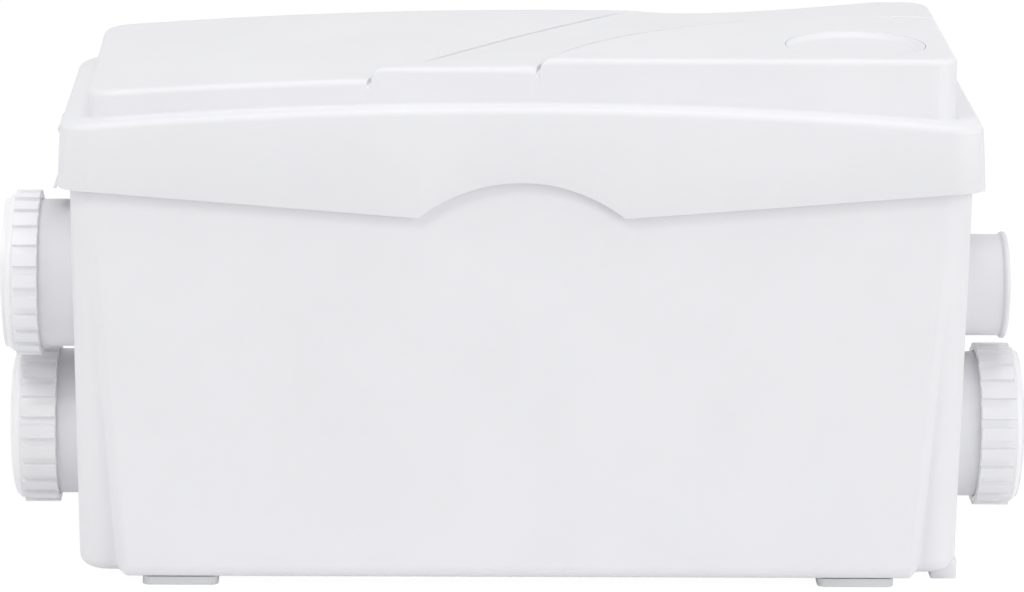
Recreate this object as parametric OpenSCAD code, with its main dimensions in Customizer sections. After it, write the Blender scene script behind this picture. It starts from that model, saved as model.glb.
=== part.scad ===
// Compact sewage lifting station: a moulded tank with a lift-off lid, two pipe inlets, one capped
// inlet, a pumped outlet, and the pump, valves and switch gear inside.
// X runs along the width, Y from front to back, Z up. The floor is z = 0, under the tank's middle.

/* [Tank] */
// Width over the two side walls
tank_w = 345.6; // [320:0.2:370]
// Depth over the front and back walls
tank_d = 129.6; // [126:0.2:150]
// Height of the rim above the floor
rim_z = 173; // [170:0.5:185]
// Thickness of the walls and the floor
wall = 3; // [2:0.1:4]
// Corner radius in plan
tank_r = 12; // [8:0.5:20]
// Height of the feet under the tank
foot_h = 3.3; // [2:0.1:6]
// Width of a foot pad
foot_w = 29.5; // [20:0.5:40]
// Depth of a foot pad
foot_d = 16; // [10:0.5:24]
// Distance of a foot pad's outer end from the tank's side wall
foot_inset_x = 26.8; // [20:0.2:40]
// Distance of a foot pad from the tank's front or back
foot_inset_y = 3; // [2:0.5:8]
// Corner radius of a foot pad
foot_r = 3; // [1:0.5:5]
// Width of the moulded support lug under the right wall
lug_w = 11.5; // [6:0.5:16]
// Depth of that lug
lug_d = 16; // [8:0.5:24]
// Distance of that lug from the tank's front
lug_inset_y = 14; // [13:0.5:24]
// Height of the ledge under the rim
rim_ledge_h = 4; // [3:0.5:6]
// How far the rim ledge stands inward of the wall
rim_ledge_in = 3; // [2:0.5:3.5]

/* [Rim gasket] */
// Thickness of the gasket on the rim
gasket_t = 3; // [2:0.5:4]
// Width of the lid's rib that presses on the gasket
press_rib_w = 2.5; // [1.5:0.5:3.5]

/* [Lid] */
// Gap between the tank's walls and the skirt
skirt_gap = 1.2; // [0.8:0.1:3]
// Corner radius of the skirt in plan
lid_r = 13; // [10:0.5:20]
// Thickness of the skirt
skirt_t = 2; // [1.5:0.1:2.4]
// Thickness of the lid's top
lid_t = 2.5; // [2:0.1:3.5]
// Height of the shelf's crown above the rim
crown_up = 17.9; // [15:0.1:27]
// Radius of the crown across the width
crown_r = 2000; // [1900:10:3000]
// Distance of the skirt's edge under the rim, at the corners
skirt_end_drop = 14.5; // [13:0.1:16]
// Distance of the skirt's edge under the rim, beside the finger notch
skirt_low_drop = 25; // [21:0.1:27]
// Half width of the finger notch
notch_half_w = 39.3; // [30:0.1:50]
// Height of the finger notch
notch_h = 13.8; // [8:0.1:16]
// Flat stretch of the skirt's edge beside the finger notch
notch_flat = 1; // [0.5:0.1:3]
// Flat stretch at each end of the skirt's edge, where the slope stops
skirt_flat = 12; // [8:0.5:20]

/* [Lid levels] */
// Shelf left of and right of the raised top
shelf_x = 10.5; // [8:0.1:14]
// Shelf in front of the raised top
shelf_front = 8; // [6:0.1:12]
// Shelf behind the raised top
shelf_back = 7; // [5:0.1:12]
// Corner radius of the raised top
plateau_r = 10; // [6:0.5:16]
// Height of the first level's crown above the rim
level1_up = 30.2; // [29:0.1:31]
// Height of the second level above the rim
level2_up = 32.1; // [31.6:0.1:33]
// Height of the third level above the rim
level3_up = 35.6; // [34.5:0.1:39]
// Distance of the first level's highest line from the middle
level1_peak_x = 15; // [0:1:30]
// Radius of the curved edge of the second level
edge2_r = 241; // [230:1:250]
// Where the second level's edge starts on the front, left of the middle
edge2_left = 51; // [30:1:70]
// Distance of the centre of that curve in front of the raised top's front
edge2_centre_y = 115; // [105:1:125]
// Radius of the curved edge of the third level
edge3_r = 340; // [325:1:355]
// Where the third level's edge starts on the front, right of the middle
edge3_right = 8.4; // [0:0.2:30]
// Distance of the centre of that curve in front of the raised top's front
edge3_centre_y = 239.5; // [225:0.5:255]

/* [Filter cap] */
// Radius of the round cap in the lid
cap_r = 27; // [24:0.5:27.5]
// Distance of its axis from the raised top's right side
cap_inset_x = 36.9; // [33:0.1:44]
// Distance of its axis from the raised top's front
cap_inset_y = 30.3; // [30:0.1:40]
// Thickness of the cap's disc
cap_t = 2.4; // [2:0.1:3]
// How deep the cap lies below the third level
cap_sink = 0.6; // [0.3:0.1:1.2]
// Width of the ledge under the disc
cap_ledge = 3; // [2:0.5:4]
// Height of the boss that carries the cap
cap_boss_h = 5; // [4:0.5:8]
// Wall of the cap's tube
cap_tube_t = 2; // [1.5:0.1:3]
// Height of a bayonet lug
bayonet_h = 2.2; // [1.5:0.1:3]
// Angle that a bayonet lug covers
bayonet_angle = 30; // [20:1:36]
// Angle between a lug at rest and its way out
bayonet_turn = 45; // [40:1:90]
// Play of a lug in its way out
bayonet_play = 4; // [2:1:6]
// Height of the carbon filter
carbon_h = 9; // [6:0.5:11]

/* [Side clips] */
// Width of a clip's hook
clip_w = 48; // [36:1:60]
// Width of a clip's hinge barrel
clip_neck_w = 16; // [12:0.5:20]
// Thickness of a clip
clip_t = 2; // [1.5:0.1:2.5]
// Height of the hinge above the skirt's corner edge
clip_pin_up = 11.5; // [9:0.5:14]
// Radius of the hinge barrel
clip_barrel_r = 1.95; // [1.8:0.05:2.2]
// Radius of the hinge pin
clip_pin_r = 1; // [0.8:0.05:1.1]
// Height of the hook that passes under the skirt
clip_hook_h = 2.4; // [1.5:0.1:3]
// How far the finger tab flares out
tab_out = 5; // [3:0.1:7]
// Height of the finger tab
tab_h = 9; // [6:0.1:11]
// Thickness of the tab's tip, as a share of the clip's thickness
tab_tip_share = 0.6; // [0.5:0.05:0.8]
// Height of the catch bead on the tank
catch_h = 2; // [1.5:0.1:3]
// How far the catch bead stands out of the wall
catch_out = 0.6; // [0.4:0.1:0.8]
// Thickness of a lid ear beside the barrel
clip_ear_t = 3; // [2:0.5:4]

/* [Inlets] */
// Bore for the connected pipe
pipe_bore_r = 20.3; // [20.1:0.1:20.5]
// Opening behind the pipe stop
throat_r = 17.5; // [15:0.5:18.5]
// Outer radius of an inlet neck
neck_r = 29; // [28:0.5:30]
// Radius of the neck's stretch through the wall
shank_r = 24; // [23:0.5:26]
// Distance of the pipe stop outside the wall
stop_out = 1; // [0.5:0.5:3]
// How far the flap's seat stands inside the wall
seat_in = 3; // [2:0.5:5]
// Depth of the conical seat in the mouth
cone_depth = 9; // [7:0.5:11]
// Radius of the conical seat at the mouth
cone_mouth_r = 27; // [26:0.5:28]
// Height of the two lower inlets
low_inlet_z = 44.5; // [42:0.5:50]
// Distance of the lower inlets behind the middle
low_inlet_y = 16; // [12:0.5:18]
// Height of the upper inlet
high_inlet_z = 111.7; // [110.5:0.1:112]
// Distance of the upper inlet in front of the middle
high_inlet_front = 8; // [6:0.5:12]
// Length of the lower left neck
left_neck_l = 23.7; // [22:0.1:25]
// Length of the lower right neck
right_neck_l = 25.4; // [24:0.1:27]
// Length of the upper neck
cap_neck_l = 25.9; // [25:0.1:27]

/* [Union nuts and blanking cap] */
// Radius over the grip ribs
nut_r = 32.6; // [32:0.1:34]
// Length of a union nut
nut_l = 20; // [18:0.5:22]
// Opening in a nut's end
nut_open_r = 21; // [20.8:0.1:22]
// Thickness of a nut's end and of the blanking cap's end
nut_end_t = 3; // [2:0.1:4]
// Length of the blanking cap
blank_l = 17; // [15:0.5:20]
// Radius of the blanking cap's rounded shoulder
blank_shoulder_r = 5.5; // [3:0.5:6]
// Number of grip ribs
rib_count = 24; // [18:1:30]
// Depth of the gaps between the ribs
rib_depth = 1; // [0.6:0.1:1.4]
// Width of the gaps between the ribs
rib_gap_w = 3.4; // [2.4:0.1:4]
// Length of the ribs on a nut
nut_rib_l = 14; // [10:0.5:16]
// Length of the ribs on the blanking cap
blank_rib_l = 10; // [8:0.5:11]
// Edge chamfer of a nut
nut_chamfer = 2; // [1:0.1:3]
// Thickness of a slip ring
slip_t = 2; // [1:0.1:3]
// Depth of a cone seal in its seat, as a share of the seat's depth
cone_seal_share = 0.8; // [0.6:0.05:0.9]
// How far a cone seal stands out of its neck
seal_lip = 0.5; // [0.4:0.1:1]
// Thickness of the blanking cap's flat seal
blank_seal_t = 2; // [1:0.1:3]

/* [Flaps] */
// Radius of an inlet flap
flap_r = 23; // [21:0.5:23.5]
// Thickness of a flap
flap_t = 2.5; // [1.5:0.1:3]
// Height of the flap's pin above the inlet's axis
flap_pin_up = 26.5; // [26:0.1:27]
// Radius of a flap pin
flap_pin_r = 1.5; // [1:0.1:1.8]
// Radius of a flap's knuckle
knuckle_r = 3; // [2.5:0.1:3.2]
// Width of a flap's knuckle
knuckle_w = 12; // [8:0.5:16]
// Thickness of an ear beside the knuckle
ear_t = 4; // [3:0.5:5]

/* [Discharge] */
// Height of the outlet's axis
outlet_z = 103.5; // [102:0.5:106]
// Outer radius of the outlet stub
stub_r = 20.15; // [20:0.05:20.3]
// Wall of the outlet stub
stub_t = 2.6; // [2:0.1:3.5]
// How far the stub stands out of the wall
stub_out = 22.7; // [18:0.1:28]
// Radius of the bead on the stub's end
bead_r = 21.25; // [21:0.05:22]
// Length of that bead
bead_l = 2.5; // [2:0.1:4]
// Radius of the flanges of the stub and of the valve
valve_r = 26; // [25:0.5:26.5]
// Thickness of the stub's flange
stub_flange_t = 3.3; // [2.5:0.1:4]
// Thickness of the wall grommet inside the wall
grommet_t = 2.5; // [2:0.1:3]
// Thickness of the grommet's sleeve in the wall
grommet_sleeve = 1.2; // [1:0.1:2]
// Length of the check valve's body
valve_l = 30; // [28:0.5:32]
// Wall of the check valve's body
valve_t = 3; // [2.5:0.1:3.5]
// Opening of the check valve's seat
valve_seat_r = 13; // [12:0.5:14]
// Thickness of the check valve's seat
valve_seat_t = 4; // [3:0.5:5]
// Radius of the check valve's flap
check_flap_r = 15.5; // [14.5:0.5:16]
// Height of the check flap's pin above the outlet's axis
check_pin_up = 18; // [17.5:0.5:18.5]
// Radius of the check flap's knuckle
check_knuckle_r = 2.2; // [2:0.1:2.5]
// Radius of the check flap's pin
check_pin_r = 1; // [0.8:0.1:1.2]
// Width of the check flap's knuckle
check_knuckle_w = 8; // [6:0.5:10]
// Outer radius of the riser pipe
riser_r = 16; // [15:0.5:17]
// Wall of the riser pipe
riser_t = 2.8; // [2:0.1:3.5]
// Bend radius of the lower elbow
bend_low_r = 30; // [26:0.5:32]
// Bend radius of the upper elbow
bend_high_r = 28.5; // [26:0.5:30]
// Wall of the rubber sleeve
sleeve_t = 2.5; // [2:0.1:3.5]
// Length of the rubber sleeve
sleeve_l = 26; // [22:0.5:30]
// Thickness of a sleeve clamp
clamp_t = 1; // [0.6:0.1:1.5]
// Width of a sleeve clamp
clamp_w = 7; // [5:0.5:9]
// Places of the clamps, as shares of the sleeve's length
clamp_shares = [0.22, 0.78];

/* [Deck] */
// Distance of the deck ledge's top under the rim
deck_drop = 25; // [24:0.5:26]
// Height of the deck ledge
deck_ledge_h = 4; // [3:0.5:4.5]
// How far the deck ledge stands inward of the wall
deck_ledge_in = 9; // [8:0.5:10]
// Thickness of the deck gasket
deck_gasket_t = 1.5; // [1:0.1:2]
// Thickness of the deck
deck_t = 3.5; // [3:0.1:4]
// Place of the deck screws at the front and back, as a share of the half width
deck_screw_share = 0.72; // [0.6:0.02:0.8]
// Radius of a deck screw's head
deck_screw_head_r = 2.6; // [2.2:0.1:2.9]
// Height of a deck screw's head
deck_screw_head_h = 2; // [1.5:0.1:3]
// Radius of a deck screw's shank
deck_screw_r = 1.3; // [1:0.1:1.5]
// Radius of the cable grommet in the deck
deck_grommet_r = 8; // [7:0.5:9]

/* [Motor] */
// Distance of the motor's axis left of the middle
motor_left = 20; // [15:1:28]
// Gap between the motor's flange and the tank's front wall
motor_wall_gap = 1.3; // [0.8:0.1:3]
// Outer radius of the motor housing
motor_r = 40; // [39:0.5:41]
// Wall of the motor housing
motor_t = 3; // [2.5:0.1:4]
// Height of the housing's underside
motor_base_z = 62; // [60:0.5:64]
// Radius of the motor flanges
motor_flange_r = 46.5; // [46:0.1:46.8]
// Thickness of a motor flange
motor_flange_t = 3; // [2.5:0.1:4]
// Height of the motor cover above its flange
motor_cover_h = 33; // [30:0.5:35]
// Number of motor cover screws
motor_screw_n = 6; // [4:1:8]
// Radius of a motor cover screw
motor_screw_r = 1.5; // [1.2:0.1:1.7]
// Radius of its head
motor_screw_head_r = 2.6; // [2.2:0.1:2.8]
// Height of its head
motor_screw_head_h = 2; // [1.5:0.1:3]
// Height of the stator core
stator_h = 50; // [40:1:56]
// Distance of the stator core above the housing's underside
stator_up = 38; // [34:1:40]
// Inner radius of the stator core
stator_bore_r = 20; // [18:0.5:22]
// Height of a winding head
winding_h = 12; // [8:0.5:14]
// Width of a winding head
winding_w = 11; // [8:0.5:12]
// Radius of the shaft
shaft_r = 5; // [4:0.5:6]
// Air gap between rotor and stator
air_gap = 0.5; // [0.3:0.1:1]
// Outer radius of a bearing
bearing_r = 13; // [11:0.5:14]
// Height of a bearing
bearing_h = 8; // [7:0.5:10]
// Wall of a bearing boss
bearing_boss_t = 3; // [2:0.5:4]

/* [Pump] */
// Outer radius of the volute
volute_r = 42; // [41:0.5:43]
// Wall of the volute
volute_t = 3.5; // [3:0.1:4]
// Height of the volute's underside
volute_base_z = 14; // [13:0.5:16]
// Height of the volute's top
volute_top_z = 50; // [49:0.5:51]
// Distance of the pump outlet from the motor's axis, to the back
pump_outlet_off = 24; // [22:0.5:25]
// Radius of the suction eye
eye_r = 13; // [10:0.5:15]
// Radius of the impeller
impeller_r = 32; // [28:0.5:34]
// Thickness of the impeller's plate
impeller_plate_t = 3; // [2:0.5:4]
// Height of the impeller's vanes
vane_h = 11; // [8:0.5:14]
// Thickness of a vane
vane_t = 2.5; // [2:0.1:4]
// Number of vanes
vane_n = 6; // [4:1:8]
// Radius of the impeller's hub
hub_r = 9; // [8:0.5:11]
// Outer radius of the shaft seal
seal_r = 11; // [10:0.5:12]
// Number of strainer posts
post_n = 14; // [8:1:18]
// Radius of a strainer post
post_r = 2.5; // [2:0.1:3]
// Width of the strainer's ring
strainer_ring_w = 3; // [2:0.1:4]
// Thickness of the strainer's ring
strainer_ring_t = 2; // [1.5:0.1:3]
// Angles of the volute screws, clear of the pump outlet
volute_screw_angles = [-150, -90, -30, 150];
// Radius of a volute screw's head
volute_screw_head_r = 3; // [2.5:0.1:3.4]

/* [Pressure switch] */
// Distance of the pressure bell's axis left of the motor's
bell_off = 80; // [78:1:82]
// Outer radius of the pressure bell
bell_r = 18; // [16:0.5:18.5]
// Wall of the pressure bell
bell_t = 2; // [1.5:0.1:3]
// Height of the bell's open end above the floor
bell_base_z = 20; // [14:1:30]
// Radius of the diaphragm housing
dia_housing_r = 22; // [21:0.5:24]
// Height of the diaphragm housing
dia_housing_h = 8; // [7:0.5:10]
// Thickness of the diaphragm
diaphragm_t = 1.2; // [0.8:0.1:2]
// Radius of the boss on the diaphragm
dia_boss_r = 5; // [4:0.5:6]
// Width of the microswitch
switch_w = 28; // [24:0.5:32]
// Depth of the microswitch
switch_d = 10; // [8:0.5:12]
// Height of the microswitch
switch_h = 16; // [12:0.5:18]
// Radius of the plunger
plunger_r = 1.6; // [1.2:0.1:2]
// Length of the plunger that shows
plunger_out = 3; // [2.5:0.1:4]
// Stroke of the plunger
plunger_stroke = 1.2; // [0.8:0.1:1.5]

/* [Electrics] */
// Radius of the capacitor
capacitor_r = 15; // [12:0.5:16]
// Length of the capacitor
capacitor_l = 55; // [40:1:60]
// Distance of the capacitor's left end right of the middle
capacitor_x = 45; // [42:1:50]
// Distance of the capacitor's axis from the tank's front
capacitor_inset_y = 32.8; // [30:0.1:36]
// Width of the capacitor's saddle
saddle_w = 14; // [10:0.5:18]
// Length of the terminal block
block_l = 52; // [40:1:56]
// Depth of the terminal block
block_d = 20; // [16:0.5:24]
// Height of the terminal block
block_h = 16; // [12:0.5:20]
// Distance of the terminal block's left end right of the middle
block_x = 48; // [46:1:56]
// Distance of the terminal block's middle from the tank's back
block_inset_y = 32.8; // [29:0.1:36]
// Number of terminals
terminal_n = 5; // [3:1:6]
// Radius of a terminal screw
terminal_r = 2.2; // [1.6:0.1:2.6]

/* [Cable gland] */
// Distance of the gland from the tank's back
gland_inset_y = 22.8; // [22:0.1:24]
// Distance of the gland under the rim
gland_drop = 37; // [36:0.5:39]
// Bore for the cable
cable_bore_r = 4.2; // [3:0.1:5]
// Radius of the gland's stem
gland_stem_r = 6.5; // [6:0.1:7]
// Radius of the gland's flange and dome nut
gland_r = 8.5; // [8:0.1:9]
// Thickness of the gland's flange
gland_flange_t = 2; // [1.5:0.1:3]
// Length of the dome nut
dome_l = 7.5; // [6:0.1:8]
// Thickness of the locknut
locknut_t = 3; // [2:0.1:4]
// Thickness of the gland's sealing ring
gland_seal_t = 1.8; // [1:0.1:2]

/* [Fits] */
// Clearance between neighbouring pieces of different bodies
body_gap = 0.3; // [0.2:0.05:0.5]
// Radial clearance of a cone seal in its seat
cone_gap = 0.36; // [0.3:0.02:0.5]
// Radial clearance of a pin or shaft that turns
run_gap = 0.06; // [0.04:0.01:0.1]
// Radial clearance of a piece seated in its place
seat_gap = 0.02; // [0.01:0.01:0.05]

/* [Hidden] */
$fn = 96;
// Overrun that makes every cut pass cleanly through its faces
over = 1;
// Radial gap between a nut and the neck's thread, whose turns are left plain
thread_gap = 0.3;

half_w = tank_w / 2;
half_d = tank_d / 2;
lid_w = tank_w + 2 * (skirt_gap + skirt_t);
lid_d = tank_d + 2 * (skirt_gap + skirt_t);
crown_z = rim_z + crown_up;
skirt_end_z = rim_z - skirt_end_drop;
skirt_low_z = rim_z - skirt_low_drop;
level1_z = rim_z + level1_up;
level2_z = rim_z + level2_up;
level3_z = rim_z + level3_up;
edge2_front_x = -edge2_left;
edge3_front_x = edge3_right;
high_inlet_y = -high_inlet_front;
motor_x = -motor_left;
motor_y = motor_flange_r + motor_wall_gap + wall - half_d;
outlet_y = motor_y + pump_outlet_off;
bell_x = motor_left + bell_off;
capacitor_y = capacitor_inset_y - half_d;
block_y = half_d - block_inset_y;
gland_y = half_d - gland_inset_y;
gland_z = rim_z - gland_drop;
floor_z = foot_h + wall;
gasket_top_z = rim_z + gasket_t;
deck_ledge_z = rim_z - deck_drop;
deck_z = deck_ledge_z + deck_gasket_t;
deck_top_z = deck_z + deck_t;
front_y = -lid_d / 2;
plateau_front_y = front_y + shelf_front;
plateau_w = lid_w - 2 * shelf_x;
plateau_d = lid_d - shelf_front - shelf_back;
plateau_y = (shelf_front - shelf_back) / 2;
edge2_y = plateau_front_y - edge2_centre_y;
edge2_x = edge2_front_x + sqrt(edge2_r * edge2_r - edge2_centre_y * edge2_centre_y);
edge3_y = plateau_front_y - edge3_centre_y;
edge3_x = edge3_front_x + sqrt(edge3_r * edge3_r - edge3_centre_y * edge3_centre_y);
notch_r = (notch_half_w * notch_half_w + notch_h * notch_h) / (2 * notch_h);
cap_x = plateau_w / 2 - cap_inset_x;
cap_y = plateau_front_y + cap_inset_y;
cap_disc_z = level3_z - cap_sink - cap_t;
cap_hole_r = cap_r - cap_ledge;
cap_tube_r = cap_hole_r - body_gap;
cap_boss_z = cap_disc_z - cap_boss_h;
bayonet_z = cap_boss_z - body_gap - bayonet_h;
clip_pin_z = skirt_end_z + clip_pin_up;
clip_pin_x = lid_w / 2 + clip_barrel_r + body_gap / 2;
ear_root_x = lid_w / 2 - skirt_t / 2;
clip_hook_z = skirt_end_z - body_gap - clip_hook_h;
catch_z = skirt_end_z - body_gap;
clip_hook_x = half_w + catch_out + body_gap;
seat_z = -(wall + seat_in);
flap_face_z = seat_z - body_gap;
knuckle_z = flap_face_z - knuckle_r;
ear_depth = knuckle_r - knuckle_z - wall;
ear_mid_y = knuckle_w / 2 + body_gap + ear_t / 2;
foot_x = half_w - foot_inset_x - foot_w / 2;
foot_y = half_d - foot_inset_y - foot_d / 2;
rim_in = wall + rim_ledge_in;
slip_z_left = left_neck_l + seal_lip;
valve_end_x = half_w - wall - grommet_t - stub_flange_t;
valve_start_x = valve_end_x - valve_l;
valve_seat_x = valve_start_x + valve_seat_t;
check_pin_x = valve_seat_x + body_gap + check_knuckle_r;
riser_x = valve_start_x - bend_high_r;
pump_outlet_z = (volute_base_z + volute_top_z) / 2;
riser_start_x = riser_x - bend_low_r;
pump_outlet_x = riser_start_x - sleeve_l;
deck_grommet_x = half_w - deck_ledge_in - 2 * deck_grommet_r;
deck_grommet_y = gland_y - deck_grommet_r / 2;
motor_flange_z = deck_top_z;
cover_flange_z = motor_flange_z + motor_flange_t;
cover_top_z = cover_flange_z + motor_flange_t + motor_cover_h;
motor_screw_ring = (motor_r + motor_flange_r) / 2;
stator_z = motor_base_z + stator_up;
rotor_r = stator_bore_r - air_gap;
low_bearing_z = motor_base_z + motor_t;
high_bearing_z = cover_top_z - motor_t - bearing_h;
post_ring_r = volute_r - volute_t / 2 - volute_screw_head_r - body_gap - post_r;
hub_top_z = volute_top_z - volute_t - body_gap;
plate_z = hub_top_z - impeller_plate_t;
vane_z = plate_z - vane_h;
stem_out = gland_flange_t + dome_l - gland_seal_t - 2 * body_gap;
dia_z = deck_top_z + dia_housing_h / 2;
bracket_x = dia_housing_r - bell_t / 2;
switch_z = deck_top_z + dia_housing_h + plunger_out;
dia_boss_h = switch_z - plunger_out - dia_z - diaphragm_t;

// A plate with round corners, centred on the axis
module rounded_outline(w, d, r) {
    square([w - 2 * r, d], center = true);
    square([w, d - 2 * r], center = true);
    for (x = [-1, 1])
        for (y = [-1, 1])
            translate([x * (w / 2 - r), y * (d / 2 - r)])
                circle(r = r);
}

// A frame of constant width along the inside of the walls
module wall_ring(inner_in, z, h) {
    translate([0, 0, z])
        linear_extrude(h)
            difference() {
                rounded_outline(tank_w - wall, tank_d - wall, tank_r - wall / 2);
                rounded_outline(tank_w - 2 * inner_in, tank_d - 2 * inner_in, tank_r - wall);
            }
}

// Children drawn with +Z pointing out of a side wall and +X pointing up
module at_left(y, z) {
    translate([-half_w, y, z])
        rotate([0, -90, 0])
            children();
}

module at_right(y, z) {
    mirror([1, 0, 0])
        at_left(y, z)
            children();
}

module at_high_left() { at_left(high_inlet_y, high_inlet_z) children(); }
module at_low_left() { at_left(low_inlet_y, low_inlet_z) children(); }
module at_low_right() { at_right(low_inlet_y, low_inlet_z) children(); }

// A solid of revolution along X from x0, l long
module bar_x(r, x0, l) {
    translate([x0, 0, 0])
        rotate([0, 90, 0])
            cylinder(r = r, h = l);
}

// Two ears and the slot between them, in an inlet's own directions
module flap_ears() {
    for (s = [-1, 1])
        difference() {
            translate([flap_pin_up - knuckle_r, s * ear_mid_y - ear_t / 2, knuckle_z - knuckle_r])
                cube([2 * knuckle_r, ear_t, ear_depth + wall / 2]);
            translate([flap_pin_up, 0, knuckle_z])
                rotate([90, 0, 0])
                    cylinder(r = flap_pin_r + seat_gap, h = knuckle_w + 2 * ear_t + 2 * over, center = true);
        }
}

module side_hole(r) {
    translate([0, 0, -wall - over])
        cylinder(r = r, h = wall + 2 * over);
}

// The bead that a clip hooks under
module catch_bead() {
    translate([half_w - wall / 2, -clip_w / 2, catch_z])
        cube([wall / 2 + catch_out, clip_w, catch_h]);
}

module tank_shell() {
    difference() {
        translate([0, 0, foot_h])
            linear_extrude(rim_z - foot_h)
                rounded_outline(tank_w, tank_d, tank_r);
        translate([0, 0, floor_z])
            linear_extrude(rim_z - foot_h)
                rounded_outline(tank_w - 2 * wall, tank_d - 2 * wall, tank_r - wall);
        at_high_left() side_hole(shank_r + seat_gap);
        at_low_left() side_hole(shank_r + seat_gap);
        at_low_right() side_hole(shank_r + seat_gap);
        at_right(outlet_y, outlet_z) side_hole(stub_r + grommet_sleeve + 2 * seat_gap);
        at_right(gland_y, gland_z) side_hole(gland_stem_r + seat_gap);
    }
}

module tank_body() {
    color("white") {
        difference() {
            union() {
                tank_shell();
                wall_ring(wall + rim_ledge_in, rim_z - rim_ledge_h, rim_ledge_h);
                wall_ring(deck_ledge_in, deck_ledge_z - deck_ledge_h, deck_ledge_h);
            }
            deck_screw_places()
                cylinder(r = deck_screw_r + seat_gap, h = rim_z, center = true);
        }
        at_high_left() flap_ears();
        at_low_left() flap_ears();
        at_low_right() flap_ears();
        catch_bead();
        mirror([1, 0, 0]) catch_bead();
        translate([half_w - lug_w, -half_d + lug_inset_y, 0])
            cube([lug_w, lug_d, floor_z]);
    }
}

module feet_pads() {
    color("gainsboro")
        for (x = [-1, 1])
            for (y = [-1, 1])
                translate([x * foot_x, y * foot_y, 0])
                    linear_extrude(foot_h)
                        rounded_outline(foot_w, foot_d, foot_r);
}

module rim_gasket() {
    color("dimgray")
        translate([0, 0, rim_z])
            linear_extrude(gasket_t)
                difference() {
                    rounded_outline(tank_w, tank_d, tank_r);
                    rounded_outline(tank_w - 2 * rim_in, tank_d - 2 * rim_in, tank_r - wall);
                }
}

// Everything under the crown of the shelf, sunk below it by drop
module under_crown(drop) {
    translate([0, 0, crown_z - crown_r])
        rotate([90, 0, 0])
            cylinder(r = crown_r - drop, h = lid_d + 2 * over, center = true);
}

// Everything under the crown of the first level
module under_level1(drop) {
    translate([level1_peak_x, 0, level1_z - crown_r])
        rotate([90, 0, 0])
            cylinder(r = crown_r - drop, h = lid_d + 2 * over, center = true);
}

module lid_plan(inset, z0, z1) {
    translate([0, 0, z0])
        linear_extrude(z1 - z0)
            rounded_outline(lid_w - 2 * inset, lid_d - 2 * inset, lid_r - inset);
}

module plateau_plan(inset, z0, z1) {
    translate([0, plateau_y, z0])
        linear_extrude(z1 - z0)
            rounded_outline(plateau_w - 2 * inset, plateau_d - 2 * inset, plateau_r - inset);
}

// The raised top as a solid, with every face moved inward by inset
module raised_top(inset) {
    base_z = gasket_top_z;
    intersection() {
        plateau_plan(inset, base_z, level3_z);
        under_level1(inset);
    }
    intersection() {
        plateau_plan(inset, base_z, level2_z - inset);
        translate([edge2_x, edge2_y, base_z])
            cylinder(r = edge2_r - inset, h = level3_z - base_z);
    }
    intersection() {
        plateau_plan(inset, base_z, level3_z - inset);
        translate([edge3_x, edge3_y, base_z])
            cylinder(r = edge3_r - inset, h = level3_z - base_z);
    }
}

// The lower edge of the skirt, as the outline of what is cut away under it
module skirt_cut() {
    translate([0, lid_d / 2 + over, 0])
        rotate([90, 0, 0])
            linear_extrude(lid_d + 2 * over) {
                for (s = [0, 1])
                    mirror([s, 0])
                        polygon([
                            [0, skirt_low_z - over],
                            [0, skirt_low_z],
                            [notch_half_w + notch_flat, skirt_low_z],
                            [lid_w / 2 - skirt_flat, skirt_end_z],
                            [lid_w / 2 + over, skirt_end_z],
                            [lid_w / 2 + over, skirt_low_z - over]
                        ]);
                translate([0, skirt_low_z + notch_h - notch_r])
                    circle(r = notch_r);
            }
}

module clip_ears() {
    difference() {
        for (s = [-1, 1])
            translate([ear_root_x, s * (clip_neck_w / 2 + body_gap + clip_ear_t / 2), clip_pin_z])
                rotate([90, 0, 0]) {
                    translate([0, -clip_barrel_r, -clip_ear_t / 2])
                        cube([clip_pin_x - ear_root_x, 2 * clip_barrel_r, clip_ear_t]);
                    translate([clip_pin_x - ear_root_x, 0, 0])
                        cylinder(r = clip_barrel_r, h = clip_ear_t, center = true);
                }
        translate([clip_pin_x, 0, clip_pin_z])
            rotate([90, 0, 0])
                cylinder(r = clip_pin_r + seat_gap, h = clip_w, center = true);
    }
}

module bayonet_sector(r0, r1, z, h, angle) {
    for (s = [0, 180])
        translate([0, 0, z])
            rotate([0, 0, s - angle / 2])
                rotate_extrude(angle = angle)
                    translate([r0, 0])
                        square([r1 - r0, h]);
}

module lid_cover() {
    rib_in = lid_w / 2 - half_w + (rim_in - press_rib_w) / 2;
    color("white")
        difference() {
            union() {
                difference() {
                    union() {
                        intersection() {
                            lid_plan(0, skirt_low_z - over, level1_z);
                            under_crown(0);
                        }
                        raised_top(0);
                    }
                    intersection() {
                        lid_plan(skirt_t, skirt_low_z - 2 * over, level1_z);
                        under_crown(lid_t);
                    }
                    raised_top(lid_t);
                    skirt_cut();
                }
                intersection() {
                    difference() {
                        lid_plan(rib_in, gasket_top_z + body_gap, level1_z);
                        lid_plan(rib_in + press_rib_w, gasket_top_z - over, level1_z + over);
                    }
                    under_crown(lid_t / 2);
                }
                translate([cap_x, cap_y, cap_boss_z])
                    cylinder(r = cap_r + lid_t, h = level3_z - lid_t / 2 - cap_boss_z);
                clip_ears();
                mirror([1, 0, 0]) clip_ears();
            }
            translate([cap_x, cap_y, cap_disc_z])
                cylinder(r = cap_r, h = level3_z);
            translate([cap_x, cap_y, cap_boss_z - over])
                cylinder(r = cap_hole_r, h = level3_z);
            translate([cap_x, cap_y, 0])
                rotate([0, 0, bayonet_turn])
                    bayonet_sector(cap_hole_r - over, cap_r, cap_boss_z - over, cap_boss_h + 2 * over,
                        bayonet_angle + bayonet_play);
        }
}

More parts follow.
